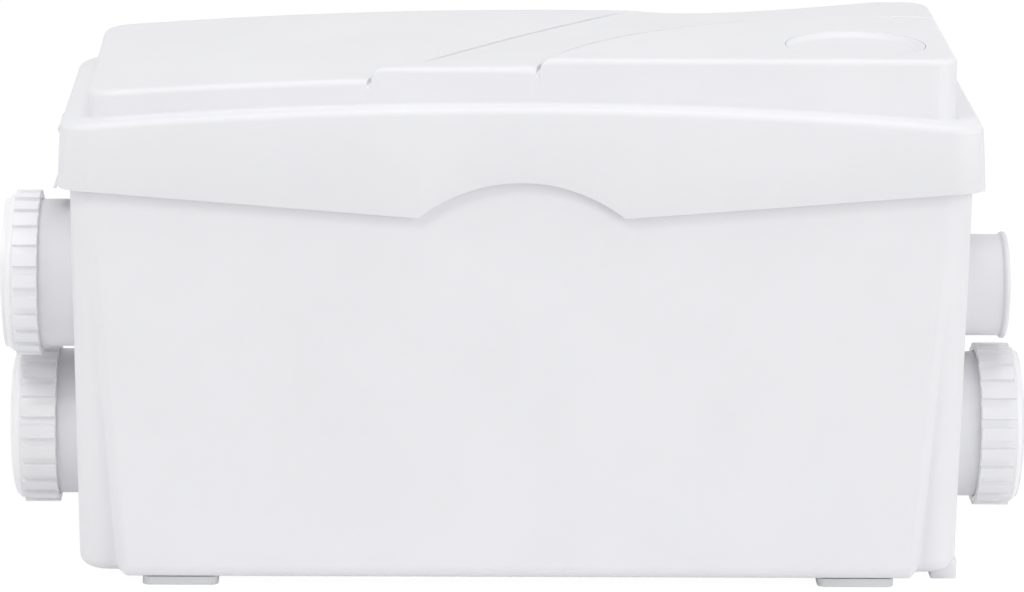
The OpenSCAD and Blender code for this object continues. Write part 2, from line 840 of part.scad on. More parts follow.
module filter_cap() {
    lug_r = cap_r - body_gap - seat_gap;
    color("white")
        translate([cap_x, cap_y, 0]) {
            translate([0, 0, cap_disc_z + seat_gap])
                cylinder(r = cap_r - body_gap, h = cap_t - seat_gap);
            difference() {
                union() {
                    translate([0, 0, bayonet_z])
                        cylinder(r = cap_tube_r, h = cap_disc_z + cap_t / 2 - bayonet_z);
                    bayonet_sector(cap_tube_r - over, lug_r, bayonet_z, bayonet_h, bayonet_angle);
                }
                translate([0, 0, bayonet_z - over])
                    cylinder(r = cap_tube_r - cap_tube_t, h = cap_disc_z + seat_gap - bayonet_z + over);
            }
        }
}

module carbon_filter() {
    color("dimgray")
        translate([cap_x, cap_y, cap_disc_z + seat_gap - carbon_h])
            cylinder(r = cap_tube_r - cap_tube_t - seat_gap, h = carbon_h);
}

// One clip on the right wall; its outline lies in the XZ plane
module clip_solid() {
    inner_x = lid_w / 2 + body_gap;
    difference() {
        union() {
            translate([0, clip_w / 2, 0])
                rotate([90, 0, 0])
                    linear_extrude(clip_w)
                        polygon([
                            [clip_hook_x, clip_hook_z],
                            [clip_hook_x, clip_hook_z + clip_hook_h],
                            [inner_x + clip_t, clip_hook_z + clip_hook_h],
                            [inner_x + tab_out, clip_hook_z + clip_hook_h - tab_h],
                            [inner_x + tab_out - clip_t * tab_tip_share, clip_hook_z + clip_hook_h - tab_h],
                            [inner_x + clip_t * (1 - tab_tip_share), clip_hook_z]
                        ]);
            translate([0, clip_neck_w / 2, 0])
                rotate([90, 0, 0])
                    linear_extrude(clip_neck_w)
                        polygon([
                            [inner_x, clip_hook_z],
                            [inner_x, clip_pin_z],
                            [inner_x + clip_t, clip_pin_z],
                            [inner_x + clip_t, clip_hook_z]
                        ]);
            translate([clip_pin_x, 0, clip_pin_z])
                rotate([90, 0, 0])
                    cylinder(r = clip_barrel_r - body_gap / 2, h = clip_neck_w, center = true);
        }
        translate([clip_pin_x, 0, clip_pin_z])
            rotate([90, 0, 0])
                cylinder(r = clip_pin_r + run_gap, h = clip_w, center = true);
    }
}

module right_clip() { color("whitesmoke") clip_solid(); }
module left_clip() { color("whitesmoke") mirror([1, 0, 0]) clip_solid(); }

module clip_pins() {
    color("silver")
        for (s = [-1, 1])
            translate([s * clip_pin_x, 0, clip_pin_z])
                rotate([90, 0, 0])
                    cylinder(r = clip_pin_r, h = clip_neck_w + 2 * (body_gap + clip_ear_t), center = true);
}

// A threaded inlet neck, its thread left plain
module inlet_neck(l) {
    color("white")
        rotate_extrude()
            polygon([
                [throat_r, seat_z],
                [shank_r, seat_z],
                [shank_r, 0],
                [neck_r, 0],
                [neck_r, l],
                [cone_mouth_r, l],
                [pipe_bore_r, l - cone_depth],
                [pipe_bore_r, stop_out],
                [throat_r, stop_out]
            ]);
}

module upper_left_neck() { at_high_left() inlet_neck(cap_neck_l); }
module lower_left_neck() { at_low_left() inlet_neck(left_neck_l); }
module lower_right_neck() { at_low_right() inlet_neck(right_neck_l); }

module grip_gaps(z0, l) {
    for (i = [0 : rib_count - 1])
        rotate([0, 0, i * 360 / rib_count])
            translate([nut_r - rib_depth, -rib_gap_w / 2, z0])
                cube([rib_depth + over, rib_gap_w, l]);
}

module union_nut(neck_l) {
    end_z = neck_l + seal_lip + slip_t + body_gap + nut_end_t;
    rim_at = end_z - nut_l;
    in_r = neck_r + thread_gap;
    color("white")
        difference() {
            rotate_extrude()
                polygon([
                    [in_r, rim_at],
                    [nut_r - rib_depth, rim_at],
                    [nut_r, rim_at + rib_depth],
                    [nut_r, end_z - nut_chamfer],
                    [nut_r - nut_chamfer, end_z],
                    [nut_open_r, end_z],
                    [nut_open_r, end_z - nut_end_t],
                    [in_r, end_z - nut_end_t]
                ]);
            grip_gaps(rim_at - over, nut_rib_l + over);
        }
}

module slip_ring(neck_l) {
    color("lightgray")
        translate([0, 0, neck_l + seal_lip])
            rotate_extrude()
                translate([nut_open_r - body_gap, 0])
                    square([neck_r - nut_open_r, slip_t]);
}

module cone_seal(neck_l) {
    slope = (cone_mouth_r - pipe_bore_r) / cone_depth;
    start = cone_depth * cone_seal_share;
    color("dimgray")
        rotate_extrude()
            polygon([
                [pipe_bore_r + seat_gap, neck_l - start],
                [pipe_bore_r + (cone_depth - start) * slope - cone_gap, neck_l - start],
                [cone_mouth_r - cone_gap, neck_l],
                [cone_mouth_r - cone_gap, neck_l + seal_lip],
                [pipe_bore_r + seat_gap, neck_l + seal_lip]
            ]);
}

module lower_left_nut() { at_low_left() union_nut(left_neck_l); }
module lower_left_slip_ring() { at_low_left() slip_ring(left_neck_l); }
module lower_left_cone_seal() { at_low_left() cone_seal(left_neck_l); }
module lower_right_nut() { at_low_right() union_nut(right_neck_l); }
module lower_right_slip_ring() { at_low_right() slip_ring(right_neck_l); }
module lower_right_cone_seal() { at_low_right() cone_seal(right_neck_l); }

module upper_left_cap() {
    end_z = cap_neck_l + body_gap + blank_seal_t + nut_end_t;
    rim_at = end_z - blank_l;
    in_r = neck_r + thread_gap;
    arc_steps = 6;
    color("white")
        at_high_left()
            difference() {
                rotate_extrude()
                    polygon(concat(
                        [[0, end_z - nut_end_t], [in_r, end_z - nut_end_t], [in_r, rim_at], [nut_r, rim_at]],
                        [for (i = [0 : arc_steps])
                            [nut_r - blank_shoulder_r * (1 - cos(i * 90 / arc_steps)),
                             end_z - blank_shoulder_r * (1 - sin(i * 90 / arc_steps))]],
                        [[0, end_z]]
                    ));
                grip_gaps(rim_at - over, blank_rib_l + over);
            }
}

module upper_left_seal() {
    color("dimgray")
        at_high_left()
            translate([0, 0, cap_neck_l + body_gap / 2])
                cylinder(r = neck_r, h = blank_seal_t);
}

// A flap with its knuckle, hanging in front of an inlet's seat
module flap_solid() {
    color("dimgray")
        difference() {
            union() {
                translate([0, 0, flap_face_z - flap_t])
                    cylinder(r = flap_r, h = flap_t);
                translate([0, -knuckle_w / 2, flap_face_z - flap_t])
                    cube([flap_pin_up, knuckle_w, flap_t]);
                translate([flap_pin_up, 0, knuckle_z])
                    rotate([90, 0, 0])
                        cylinder(r = knuckle_r, h = knuckle_w, center = true);
            }
            translate([flap_pin_up, 0, knuckle_z])
                rotate([90, 0, 0])
                    cylinder(r = flap_pin_r + run_gap, h = knuckle_w + 2 * over, center = true);
        }
}

module upper_left_flap() { at_high_left() flap_solid(); }
module lower_left_flap() { at_low_left() flap_solid(); }
module lower_right_flap() { at_low_right() flap_solid(); }

module flap_pin() {
    translate([flap_pin_up, 0, knuckle_z])
        rotate([90, 0, 0])
            cylinder(r = flap_pin_r, h = knuckle_w + 2 * (body_gap + ear_t), center = true);
}

module flap_pins() {
    color("silver") {
        at_high_left() flap_pin();
        at_low_left() flap_pin();
        at_low_right() flap_pin();
    }
}

module discharge_stub() {
    end_x = half_w + stub_out;
    color("white")
        translate([0, outlet_y, outlet_z])
            difference() {
                union() {
                    bar_x(valve_r, valve_end_x, stub_flange_t);
                    bar_x(stub_r, valve_end_x, end_x - valve_end_x);
                    bar_x(bead_r, end_x - bead_l, bead_l);
                }
                bar_x(stub_r - stub_t, valve_end_x - over, end_x - valve_end_x + 2 * over);
            }
}

module discharge_grommet() {
    color("dimgray")
        translate([0, outlet_y, outlet_z])
            difference() {
                union() {
                    bar_x(valve_r, half_w - wall - grommet_t, grommet_t);
                    bar_x(stub_r + seat_gap + grommet_sleeve, half_w - wall - grommet_t, grommet_t + wall);
                }
                bar_x(stub_r + seat_gap, half_w - wall - grommet_t - over, grommet_t + wall + 2 * over);
            }
}

module check_valve_body() {
    color("darkslategray")
        translate([0, outlet_y, outlet_z])
            difference() {
                bar_x(valve_r, valve_start_x, valve_l);
                bar_x(valve_seat_r, valve_start_x - over, valve_l);
                bar_x(valve_r - valve_t, valve_seat_x, valve_l);
                translate([check_pin_x, 0, check_pin_up])
                    rotate([90, 0, 0])
                        cylinder(r = check_pin_r + seat_gap, h = 2 * valve_r, center = true);
            }
}

module check_flap() {
    color("dimgray")
        translate([0, outlet_y, outlet_z])
            difference() {
                union() {
                    bar_x(check_flap_r, valve_seat_x + body_gap, flap_t);
                    translate([valve_seat_x + body_gap, -check_knuckle_w / 2, 0])
                        cube([flap_t, check_knuckle_w, check_pin_up]);
                    translate([check_pin_x, 0, check_pin_up])
                        rotate([90, 0, 0])
                            cylinder(r = check_knuckle_r, h = check_knuckle_w, center = true);
                }
                translate([check_pin_x, 0, check_pin_up])
                    rotate([90, 0, 0])
                        cylinder(r = check_pin_r + run_gap, h = check_knuckle_w + 2 * over, center = true);
            }
}

module check_flap_pin() {
    chord = 2 * sqrt(valve_r * valve_r - check_pin_up * check_pin_up);
    color("silver")
        translate([check_pin_x, outlet_y, outlet_z + check_pin_up])
            rotate([90, 0, 0])
                cylinder(r = check_pin_r, h = chord - check_pin_r, center = true);
}

// A quarter bend of the riser's section, in the XZ plane
module quarter_bend(bend_r, r) {
    rotate([90, 0, 0])
        rotate_extrude(angle = 90)
            translate([bend_r, 0])
                circle(r = r);
}

module riser_run(r, extra) {
    translate([0, outlet_y, 0]) {
        translate([0, 0, pump_outlet_z])
            bar_x(r, riser_start_x - sleeve_l / 2 - extra, sleeve_l / 2 + extra);
        translate([riser_start_x, 0, pump_outlet_z + bend_low_r])
            mirror([0, 0, 1])
                quarter_bend(bend_low_r, r);
        translate([riser_x, 0, pump_outlet_z + bend_low_r])
            cylinder(r = r, h = outlet_z - pump_outlet_z - bend_low_r - bend_high_r);
        translate([riser_x + bend_high_r, 0, outlet_z - bend_high_r])
            mirror([1, 0, 0])
                quarter_bend(bend_high_r, r);
        translate([0, 0, outlet_z])
            bar_x(r, riser_x + bend_high_r, extra);
    }
}

module riser_pipe() {
    color("white")
        difference() {
            riser_run(riser_r, 0);
            riser_run(riser_r - riser_t, over);
        }
}

module riser_sleeve() {
    color("dimgray")
        translate([0, outlet_y, pump_outlet_z])
            difference() {
                bar_x(riser_r + seat_gap + sleeve_t, pump_outlet_x + seat_gap, sleeve_l - 2 * seat_gap);
                bar_x(riser_r + seat_gap, pump_outlet_x - over, sleeve_l + 2 * over);
            }
}

module sleeve_clamps() {
    in_r = riser_r + 2 * seat_gap + sleeve_t;
    color("silver")
        translate([0, outlet_y, pump_outlet_z])
            for (share = clamp_shares)
                difference() {
                    bar_x(in_r + clamp_t, pump_outlet_x + sleeve_l * share - clamp_w / 2, clamp_w);
                    bar_x(in_r, pump_outlet_x, sleeve_l);
                }
}

// The middle of the deck ledge, where the deck is screwed down
module deck_screw_places() {
    sx = half_w - (wall + deck_ledge_in) / 2;
    sy = half_d - (wall + deck_ledge_in) / 2;
    for (x = [-1, 1])
        for (y = [-1, 1]) {
            translate([x * sx, y * (half_d - tank_r), deck_ledge_z]) children();
            translate([x * (half_w - tank_r) * deck_screw_share, y * sy, deck_ledge_z]) children();
        }
}

module deck_plan(z, h) {
    gap = rim_ledge_in + body_gap;
    translate([0, 0, z])
        linear_extrude(h)
            rounded_outline(tank_w - 2 * (wall + gap), tank_d - 2 * (wall + gap), tank_r - wall);
}

module motor_deck() {
    color("gainsboro")
        difference() {
            deck_plan(deck_z, deck_t);
            translate([motor_x, motor_y, deck_z - over])
                cylinder(r = motor_r + body_gap, h = deck_t + 2 * over);
            translate([-bell_x, 0, deck_z - over])
                cylinder(r = bell_r - bell_t, h = deck_t + 2 * over);
            translate([deck_grommet_x, deck_grommet_y, deck_z - over])
                cylinder(r = deck_grommet_r - grommet_t, h = deck_t + 2 * over);
            deck_screw_places()
                cylinder(r = deck_screw_r + seat_gap, h = rim_z, center = true);
        }
}

module deck_gasket() {
    color("dimgray")
        difference() {
            deck_plan(deck_ledge_z, deck_gasket_t);
            translate([0, 0, deck_ledge_z - over])
                linear_extrude(deck_gasket_t + 2 * over)
                    rounded_outline(tank_w - 2 * deck_ledge_in, tank_d - 2 * deck_ledge_in, tank_r - wall);
            deck_screw_places()
                cylinder(r = deck_screw_r + seat_gap, h = rim_z, center = true);
        }
}

module deck_screws() {
    color("silver")
        deck_screw_places() {
            translate([0, 0, deck_gasket_t + deck_t])
                cylinder(r = deck_screw_head_r, h = deck_screw_head_h);
            translate([0, 0, -deck_ledge_h])
                cylinder(r = deck_screw_r, h = deck_ledge_h + deck_gasket_t + deck_t + deck_screw_head_h / 2);
        }
}

module deck_grommet() {
    r = deck_grommet_r - grommet_t;
    color("dimgray")
        translate([deck_grommet_x, deck_grommet_y, 0])
            difference() {
                union() {
                    translate([0, 0, deck_top_z])
                        cylinder(r = deck_grommet_r, h = grommet_t);
                    translate([0, 0, deck_z])
                        cylinder(r = r - seat_gap, h = deck_t + grommet_t);
                }
                translate([0, 0, deck_z - over])
                    cylinder(r = cable_bore_r, h = deck_t + grommet_t + 2 * over);
            }
}

module motor_screw_places() {
    for (i = [0 : motor_screw_n - 1])
        translate([motor_x, motor_y, 0])
            rotate([0, 0, (i + 0.5) * 360 / motor_screw_n])
                translate([motor_screw_ring, 0, 0])
                    children();
}

module motor_housing() {
    color("silver")
        difference() {
            union() {
                translate([motor_x, motor_y, motor_base_z])
                    cylinder(r = motor_r, h = motor_flange_z + motor_flange_t - motor_base_z);
                translate([motor_x, motor_y, motor_flange_z])
                    cylinder(r = motor_flange_r, h = motor_flange_t);
            }
            difference() {
                translate([motor_x, motor_y, low_bearing_z])
                    cylinder(r = motor_r - motor_t, h = cover_flange_z - low_bearing_z + over);
                translate([motor_x, motor_y, low_bearing_z - over])
                    cylinder(r = bearing_r + bearing_boss_t, h = bearing_h + over);
            }
            translate([motor_x, motor_y, low_bearing_z])
                cylinder(r = bearing_r + seat_gap, h = bearing_h + over);
            translate([motor_x, motor_y, motor_base_z - over])
                cylinder(r = shaft_r + body_gap, h = bearing_h + 2 * over);
            motor_screw_places()
                translate([0, 0, motor_flange_z - over])
                    cylinder(r = motor_screw_r + seat_gap, h = motor_flange_t + 2 * over);
        }
}

module motor_cover() {
    color("gainsboro")
        difference() {
            union() {
                translate([motor_x, motor_y, cover_flange_z])
                    cylinder(r = motor_flange_r, h = motor_flange_t);
                translate([motor_x, motor_y, cover_flange_z])
                    cylinder(r = motor_r, h = cover_top_z - cover_flange_z);
            }
            difference() {
                translate([motor_x, motor_y, cover_flange_z - over])
                    cylinder(r = motor_r - motor_t, h = cover_top_z - motor_t - cover_flange_z + over);
                translate([motor_x, motor_y, high_bearing_z])
                    cylinder(r = bearing_r + bearing_boss_t, h = bearing_h + over);
            }
            translate([motor_x, motor_y, high_bearing_z - over])
                cylinder(r = bearing_r + seat_gap, h = bearing_h + over);
            motor_screw_places()
                translate([0, 0, cover_flange_z - over])
                    cylinder(r = motor_screw_r + seat_gap, h = motor_flange_t + 2 * over);
        }
}

module motor_screws() {
    color("silver")
        motor_screw_places() {
            translate([0, 0, cover_flange_z + motor_flange_t])
                cylinder(r = motor_screw_head_r, h = motor_screw_head_h);
            translate([0, 0, motor_flange_z])
                cylinder(r = motor_screw_r, h = 2 * motor_flange_t + motor_screw_head_h / 2);
        }
}

module stator_core() {
    color("slategray")
        translate([motor_x, motor_y, stator_z])
            difference() {
                cylinder(r = motor_r - motor_t - seat_gap, h = stator_h);
                translate([0, 0, -over])
                    cylinder(r = stator_bore_r, h = stator_h + 2 * over);
            }
}

module stator_windings() {
    mid_r = (stator_bore_r + motor_r - motor_t) / 2;
    color("peru")
        for (z = [stator_z - winding_h, stator_z + stator_h])
            translate([motor_x, motor_y, z])
                rotate_extrude()
                    translate([mid_r - winding_w / 2, 0])
                        square([winding_w, winding_h]);
}

module rotor_core() {
    color("slategray")
        translate([motor_x, motor_y, stator_z - air_gap])
            difference() {
                cylinder(r = rotor_r, h = stator_h + 2 * air_gap);
                translate([0, 0, -over])
                    cylinder(r = shaft_r + seat_gap, h = stator_h + 2 * air_gap + 2 * over);
            }
}

module pump_shaft() {
    color("silver")
        translate([motor_x, motor_y, vane_z])
            cylinder(r = shaft_r, h = high_bearing_z + bearing_h - body_gap - vane_z);
}

module bearings() {
    color("lightsteelblue")
        for (z = [low_bearing_z, high_bearing_z])
            translate([motor_x, motor_y, z])
                difference() {
                    cylinder(r = bearing_r, h = bearing_h);
                    translate([0, 0, -over])
                        cylinder(r = shaft_r + run_gap, h = bearing_h + 2 * over);
                }
}

module shaft_seal() {
    color("dimgray")
        translate([motor_x, motor_y, volute_top_z])
            difference() {
                cylinder(r = seal_r, h = motor_base_z - volute_top_z);
                translate([0, 0, -over])
                    cylinder(r = shaft_r + run_gap, h = motor_base_z - volute_top_z + 2 * over);
            }
}

module impeller() {
    color("black")
        translate([motor_x, motor_y, 0])
            difference() {
                union() {
                    translate([0, 0, plate_z])
                        cylinder(r = impeller_r, h = impeller_plate_t);
                    translate([0, 0, vane_z])
                        cylinder(r = hub_r, h = hub_top_z - vane_z);
                    for (i = [0 : vane_n - 1])
                        translate([0, 0, vane_z])
                            rotate([0, 0, i * 360 / vane_n])
                                translate([hub_r - over, -vane_t / 2, 0])
                                    cube([impeller_r - vane_t - hub_r + over, vane_t, vane_h + over]);
                }
                translate([0, 0, vane_z - over])
                    cylinder(r = shaft_r + seat_gap, h = hub_top_z - vane_z + 2 * over);
            }
}

module impeller_nut() {
    color("silver")
        translate([motor_x, motor_y, vane_z - vane_t])
            cylinder(r = hub_r - vane_t, h = vane_t, $fn = 6);
}

module volute_casing() {
    color("darkslategray")
        difference() {
            union() {
                translate([motor_x, motor_y, volute_base_z + volute_t])
                    cylinder(r = volute_r, h = volute_top_z - volute_base_z - volute_t);
                translate([motor_x, motor_y, volute_top_z - over])
                    cylinder(r = seal_r + volute_t, h = motor_base_z - volute_top_z + over);
                translate([0, outlet_y, pump_outlet_z])
                    intersection() {
                        bar_x(riser_r, motor_x, riser_start_x - sleeve_l / 2 - body_gap - motor_x);
                        translate([motor_x, -riser_r, volute_base_z + volute_t - pump_outlet_z])
                            cube([tank_w, 2 * riser_r, volute_top_z - volute_base_z]);
                    }
            }
            translate([motor_x, motor_y, volute_base_z])
                cylinder(r = volute_r - volute_t, h = volute_top_z - volute_t - volute_base_z);
            translate([0, outlet_y, pump_outlet_z])
                bar_x(riser_r - riser_t, motor_x, tank_w);
            translate([motor_x, motor_y, volute_top_z])
                cylinder(r = seal_r + seat_gap, h = motor_base_z);
            translate([motor_x, motor_y, volute_base_z])
                cylinder(r = shaft_r + body_gap, h = motor_base_z);
            volute_screw_places()
                translate([0, 0, volute_base_z])
                    cylinder(r = deck_screw_r + seat_gap, h = pump_outlet_z - volute_base_z);
        }
}

module volute_screw_places() {
    for (a = volute_screw_angles)
        translate([motor_x, motor_y, 0])
            rotate([0, 0, a])
                translate([volute_r - volute_t / 2, 0, 0])
                    children();
}

module volute_base() {
    color("darkslategray")
        difference() {
            union() {
                translate([motor_x, motor_y, volute_base_z])
                    cylinder(r = volute_r, h = volute_t);
                translate([motor_x, motor_y, floor_z])
                    rotate_extrude()
                        translate([post_ring_r - strainer_ring_w / 2, 0])
                            square([strainer_ring_w, strainer_ring_t]);
                for (i = [0 : post_n - 1])
                    translate([motor_x, motor_y, floor_z])
                        rotate([0, 0, i * 360 / post_n])
                            translate([post_ring_r, 0, 0])
                                cylinder(r = post_r, h = volute_base_z - floor_z + volute_t / 2);
            }
            translate([motor_x, motor_y, floor_z - over])
                cylinder(r = eye_r, h = volute_base_z);
            volute_screw_places()
                translate([0, 0, volute_base_z - over])
                    cylinder(r = deck_screw_r + seat_gap, h = volute_t + 2 * over);
        }
}

module volute_screws() {
    color("silver")
        volute_screw_places() {
            translate([0, 0, volute_base_z - deck_screw_head_h])
                cylinder(r = volute_screw_head_r, h = deck_screw_head_h);
            translate([0, 0, volute_base_z - deck_screw_head_h / 2])
                cylinder(r = deck_screw_r, h = pump_outlet_z - volute_base_z);
        }
}

module pressure_bell() {
    color("gainsboro")
        translate([-bell_x, 0, bell_base_z])
            difference() {
                cylinder(r = bell_r, h = deck_z - bell_base_z);
                translate([0, 0, -over])
                    cylinder(r = bell_r - bell_t, h = deck_z - bell_base_z + 2 * over);
            }
}

module diaphragm_housing() {
    color("gainsboro")
        translate([-bell_x, 0, 0])
            difference() {
                translate([0, 0, deck_top_z])
                    cylinder(r = dia_housing_r, h = dia_housing_h);
                translate([0, 0, deck_top_z - over])
                    cylinder(r = bell_r - bell_t, h = dia_housing_h);
                translate([0, 0, dia_z])
                    cylinder(r = dia_housing_r - bell_t, h = dia_housing_h);
            }
}

module diaphragm() {
    color("dimgray")
        translate([-bell_x, 0, dia_z]) {
            cylinder(r = dia_housing_r - bell_t - seat_gap, h = diaphragm_t);
            cylinder(r = dia_boss_r, h = diaphragm_t + dia_boss_h - body_gap);
        }
}

module microswitch() {
    color("black")
        difference() {
            union() {
                translate([-bell_x - switch_w / 2, -switch_d / 2, switch_z])
                    cube([switch_w, switch_d, switch_h]);
                for (s = [-1, 1])
                    translate([-bell_x + s * bracket_x - bell_t / 2, -switch_d / 2, switch_z - plunger_out])
                        cube([bell_t, switch_d, plunger_out + switch_h / 2]);
                translate([-bell_x - dia_housing_r, -switch_d / 2, switch_z + switch_h / 2 - bell_t])
                    cube([2 * dia_housing_r, switch_d, bell_t]);
            }
            translate([-bell_x, 0, switch_z - over])
                cylinder(r = plunger_r + run_gap, h = plunger_out + plunger_stroke + 2 * over);
        }
}

module switch_plunger() {
    color("firebrick")
        translate([-bell_x, 0, switch_z - plunger_out])
            cylinder(r = plunger_r, h = 2 * plunger_out);
}

module capacitor() {
    color("lightgray")
        translate([0, capacitor_y, deck_top_z + bell_t + capacitor_r])
            bar_x(capacitor_r, capacitor_x, capacitor_l);
}

module capacitor_saddle() {
    mid_x = capacitor_x + capacitor_l / 2;
    color("black")
        difference() {
            translate([mid_x - saddle_w / 2, capacitor_y - capacitor_r - bell_t, deck_top_z])
                cube([saddle_w, 2 * (capacitor_r + bell_t), bell_t + capacitor_r]);
            translate([0, capacitor_y, deck_top_z + bell_t + capacitor_r])
                bar_x(capacitor_r + seat_gap, mid_x - saddle_w, 2 * saddle_w);
        }
}

module terminal_block() {
    pitch = block_l / terminal_n;
    color("ivory")
        translate([block_x, block_y, deck_top_z])
            difference() {
                translate([0, -block_d / 2, 0])
                    cube([block_l, block_d, block_h]);
                for (i = [0 : terminal_n - 1]) {
                    translate([(i + 0.5) * pitch, -block_d / 4, block_h / 2])
                        cylinder(r = terminal_r, h = block_h);
                    translate([(i + 0.5) * pitch, block_d / 4, block_h / 2])
                        cylinder(r = terminal_r, h = block_h);
                    translate([(i + 0.5) * pitch, 0, block_h / 3])
                        rotate([90, 0, 0])
                            cylinder(r = terminal_r, h = 2 * block_d, center = true);
                }
            }
}

module cable_gland() {
    color("white")
        at_right(gland_y, gland_z)
            difference() {
                union() {
                    cylinder(r = gland_r, h = gland_flange_t);
                    translate([0, 0, -wall - locknut_t])
                        cylinder(r = gland_stem_r, h = wall + locknut_t + stem_out);
                }
                translate([0, 0, -tank_w])
                    cylinder(r = cable_bore_r, h = 2 * tank_w);
            }
}

module gland_nut() {
    inner_r = gland_stem_r + run_gap;
    color("white")
        at_right(gland_y, gland_z)
            difference() {
                translate([0, 0, gland_flange_t + body_gap])
                    cylinder(r = gland_r, h = dome_l);
                translate([0, 0, gland_flange_t])
                    cylinder(r = inner_r, h = stem_out + body_gap - gland_flange_t);
                cylinder(r = cable_bore_r + body_gap, h = 2 * (gland_flange_t + dome_l));
            }
}

tank_body();
feet_pads();
rim_gasket();
lid_cover();
filter_cap();
carbon_filter();
left_clip();
right_clip();
clip_pins();
upper_left_neck();
lower_left_neck();
lower_right_neck();
upper_left_cap();
upper_left_seal();
lower_left_nut();
lower_left_cone_seal();
lower_left_slip_ring();
lower_right_nut();
lower_right_cone_seal();
lower_right_slip_ring();
upper_left_flap();
lower_left_flap();
lower_right_flap();
flap_pins();
discharge_stub();
discharge_grommet();
check_valve_body();
check_flap();
check_flap_pin();
riser_pipe();
riser_sleeve();
sleeve_clamps();
motor_deck();
deck_gasket();
deck_screws();
deck_grommet();
motor_housing();
motor_cover();
motor_screws();
stator_core();
stator_windings();
rotor_core();
pump_shaft();
bearings();
shaft_seal();
impeller();
impeller_nut();
volute_casing();
volute_base();
volute_screws();
pressure_bell();
diaphragm_housing();
diaphragm();
microswitch();
switch_plunger();
capacitor();
capacitor_saddle();
terminal_block();
cable_gland();
gland_nut();
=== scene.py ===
# %% [markdown]
# # A sewage lifting station, dressed over its CAD frame
# The object is a flat plastic tank with a pump inside, which takes waste water from two pipes and lifts
# it to a drain. Its shell is white moulded ABS. The CAD model already has the right sizes and joints, so
# this lesson adds what light shows: rounded edges, the stepped lid, the set-back corners, the ribbed nuts
# and a finish for each material. The frame is loaded first.
# %% Load the frame
from math import atan2, cos, exp, hypot, pi, radians, sin, sqrt

import bmesh
import bpy
from mathutils import Matrix, Vector


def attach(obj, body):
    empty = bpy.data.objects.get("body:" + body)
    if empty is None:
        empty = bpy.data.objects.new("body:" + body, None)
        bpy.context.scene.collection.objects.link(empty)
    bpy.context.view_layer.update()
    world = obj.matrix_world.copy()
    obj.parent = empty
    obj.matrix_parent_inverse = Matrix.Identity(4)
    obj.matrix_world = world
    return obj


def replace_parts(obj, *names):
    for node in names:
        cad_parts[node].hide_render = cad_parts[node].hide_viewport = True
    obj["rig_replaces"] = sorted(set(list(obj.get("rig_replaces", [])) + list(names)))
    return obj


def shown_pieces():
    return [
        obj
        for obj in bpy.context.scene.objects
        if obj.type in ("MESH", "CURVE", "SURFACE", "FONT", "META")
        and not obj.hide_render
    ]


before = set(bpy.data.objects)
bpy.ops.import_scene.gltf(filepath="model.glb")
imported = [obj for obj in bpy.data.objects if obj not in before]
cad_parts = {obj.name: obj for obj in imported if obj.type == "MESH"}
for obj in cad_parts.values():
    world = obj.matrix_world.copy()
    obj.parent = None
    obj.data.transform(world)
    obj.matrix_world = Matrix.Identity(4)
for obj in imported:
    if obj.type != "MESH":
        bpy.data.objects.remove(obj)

# One millimetre in metres
MM = 0.001
scene = bpy.context.scene
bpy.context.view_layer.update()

# %% [markdown]
# ## The camera
# The photograph is a catalogue picture: a long lens, a little above the object and square to its front.
# A long lens keeps the sides almost parallel. The lens, the height and the small roll were found from the
# places of the feet, the lid's corners and the inlets in the photograph. The object isn't centred on the
# lens axis, so a small shift frames it.
# %% Camera
camera_data = bpy.data.cameras.new("catalogue_camera")
camera_data.lens = 168.75
camera_data.sensor_width = 36
camera_data.shift_x = 0.1035
camera_data.clip_end = 50
camera = bpy.data.objects.new("catalogue_camera", camera_data)
scene.collection.objects.link(camera)
camera.location = (-0.0439, -1.8436, 0.5653)
tilt = Matrix.Rotation(radians(75.85), 3, "X")
roll = Matrix.Rotation(radians(0.2), 3, "Z")
camera.rotation_euler = (tilt @ roll).to_euler()
scene.camera = camera
print("camera:", camera_data.lens, "mm lens at", [round(c, 3) for c in camera.location])

# %% [markdown]
# ## One way to add a shader node
# Every material below is a small graph of nodes. One function makes a node, sets its settings, and either
# links each input or gives it a value. Colours are written as the hex values of an ordinary paint chart,
# so a second function turns those into the linear numbers that the renderer works with.
# %% Helpers for materials
def add_node(tree, kind, inputs, **settings):
    """A new node with its settings; each input takes a value or another node's output."""
    node = tree.nodes.new("ShaderNode" + kind)
    for name, value in settings.items():
        setattr(node, name, value)
    for socket, value in inputs.items():
        if isinstance(value, bpy.types.NodeSocket):
            tree.links.new(value, node.inputs[socket])
        else:
            node.inputs[socket].default_value = value
    return node


def paint(code):
    """A hex colour as linear red, green, blue and alpha."""
    parts = [int(code[i:i + 2], 16) / 255 for i in (1, 3, 5)]
    return [p / 12.92 if p <= 0.04045 else ((p + 0.055) / 1.055) ** 2.4 for p in parts] + [1]


def per_mm(size):
    """The scale of a pattern whose repeat is size millimetres, in coordinates that are metres."""
    return 1000 / size


def new_material(name):
    """A new material, its tree, its shader and coordinates that stay with the object."""
    made = bpy.data.materials.new(name)
    made.use_nodes = True
    tree = made.node_tree
    place = add_node(tree, "TexCoord", {}).outputs["Object"]
    return made, tree, tree.nodes["Principled BSDF"], place


def add_relief(tree, shader, height, rough, swing, strength, depth_mm):
    """A pattern moves the roughness by a swing up and down, and gives a shallow bump."""
    gloss = add_node(tree, "MapRange", {"Value": height, "To Min": rough - swing, "To Max": rough + swing})
    bump = add_node(tree, "Bump", {"Height": height, "Strength": strength, "Distance": depth_mm * MM})
    tree.links.new(gloss.outputs[0], shader.inputs["Roughness"])
    tree.links.new(bump.outputs[0], shader.inputs["Normal"])


print("white paint reads", [round(c, 3) for c in paint("#E9E9EC")])

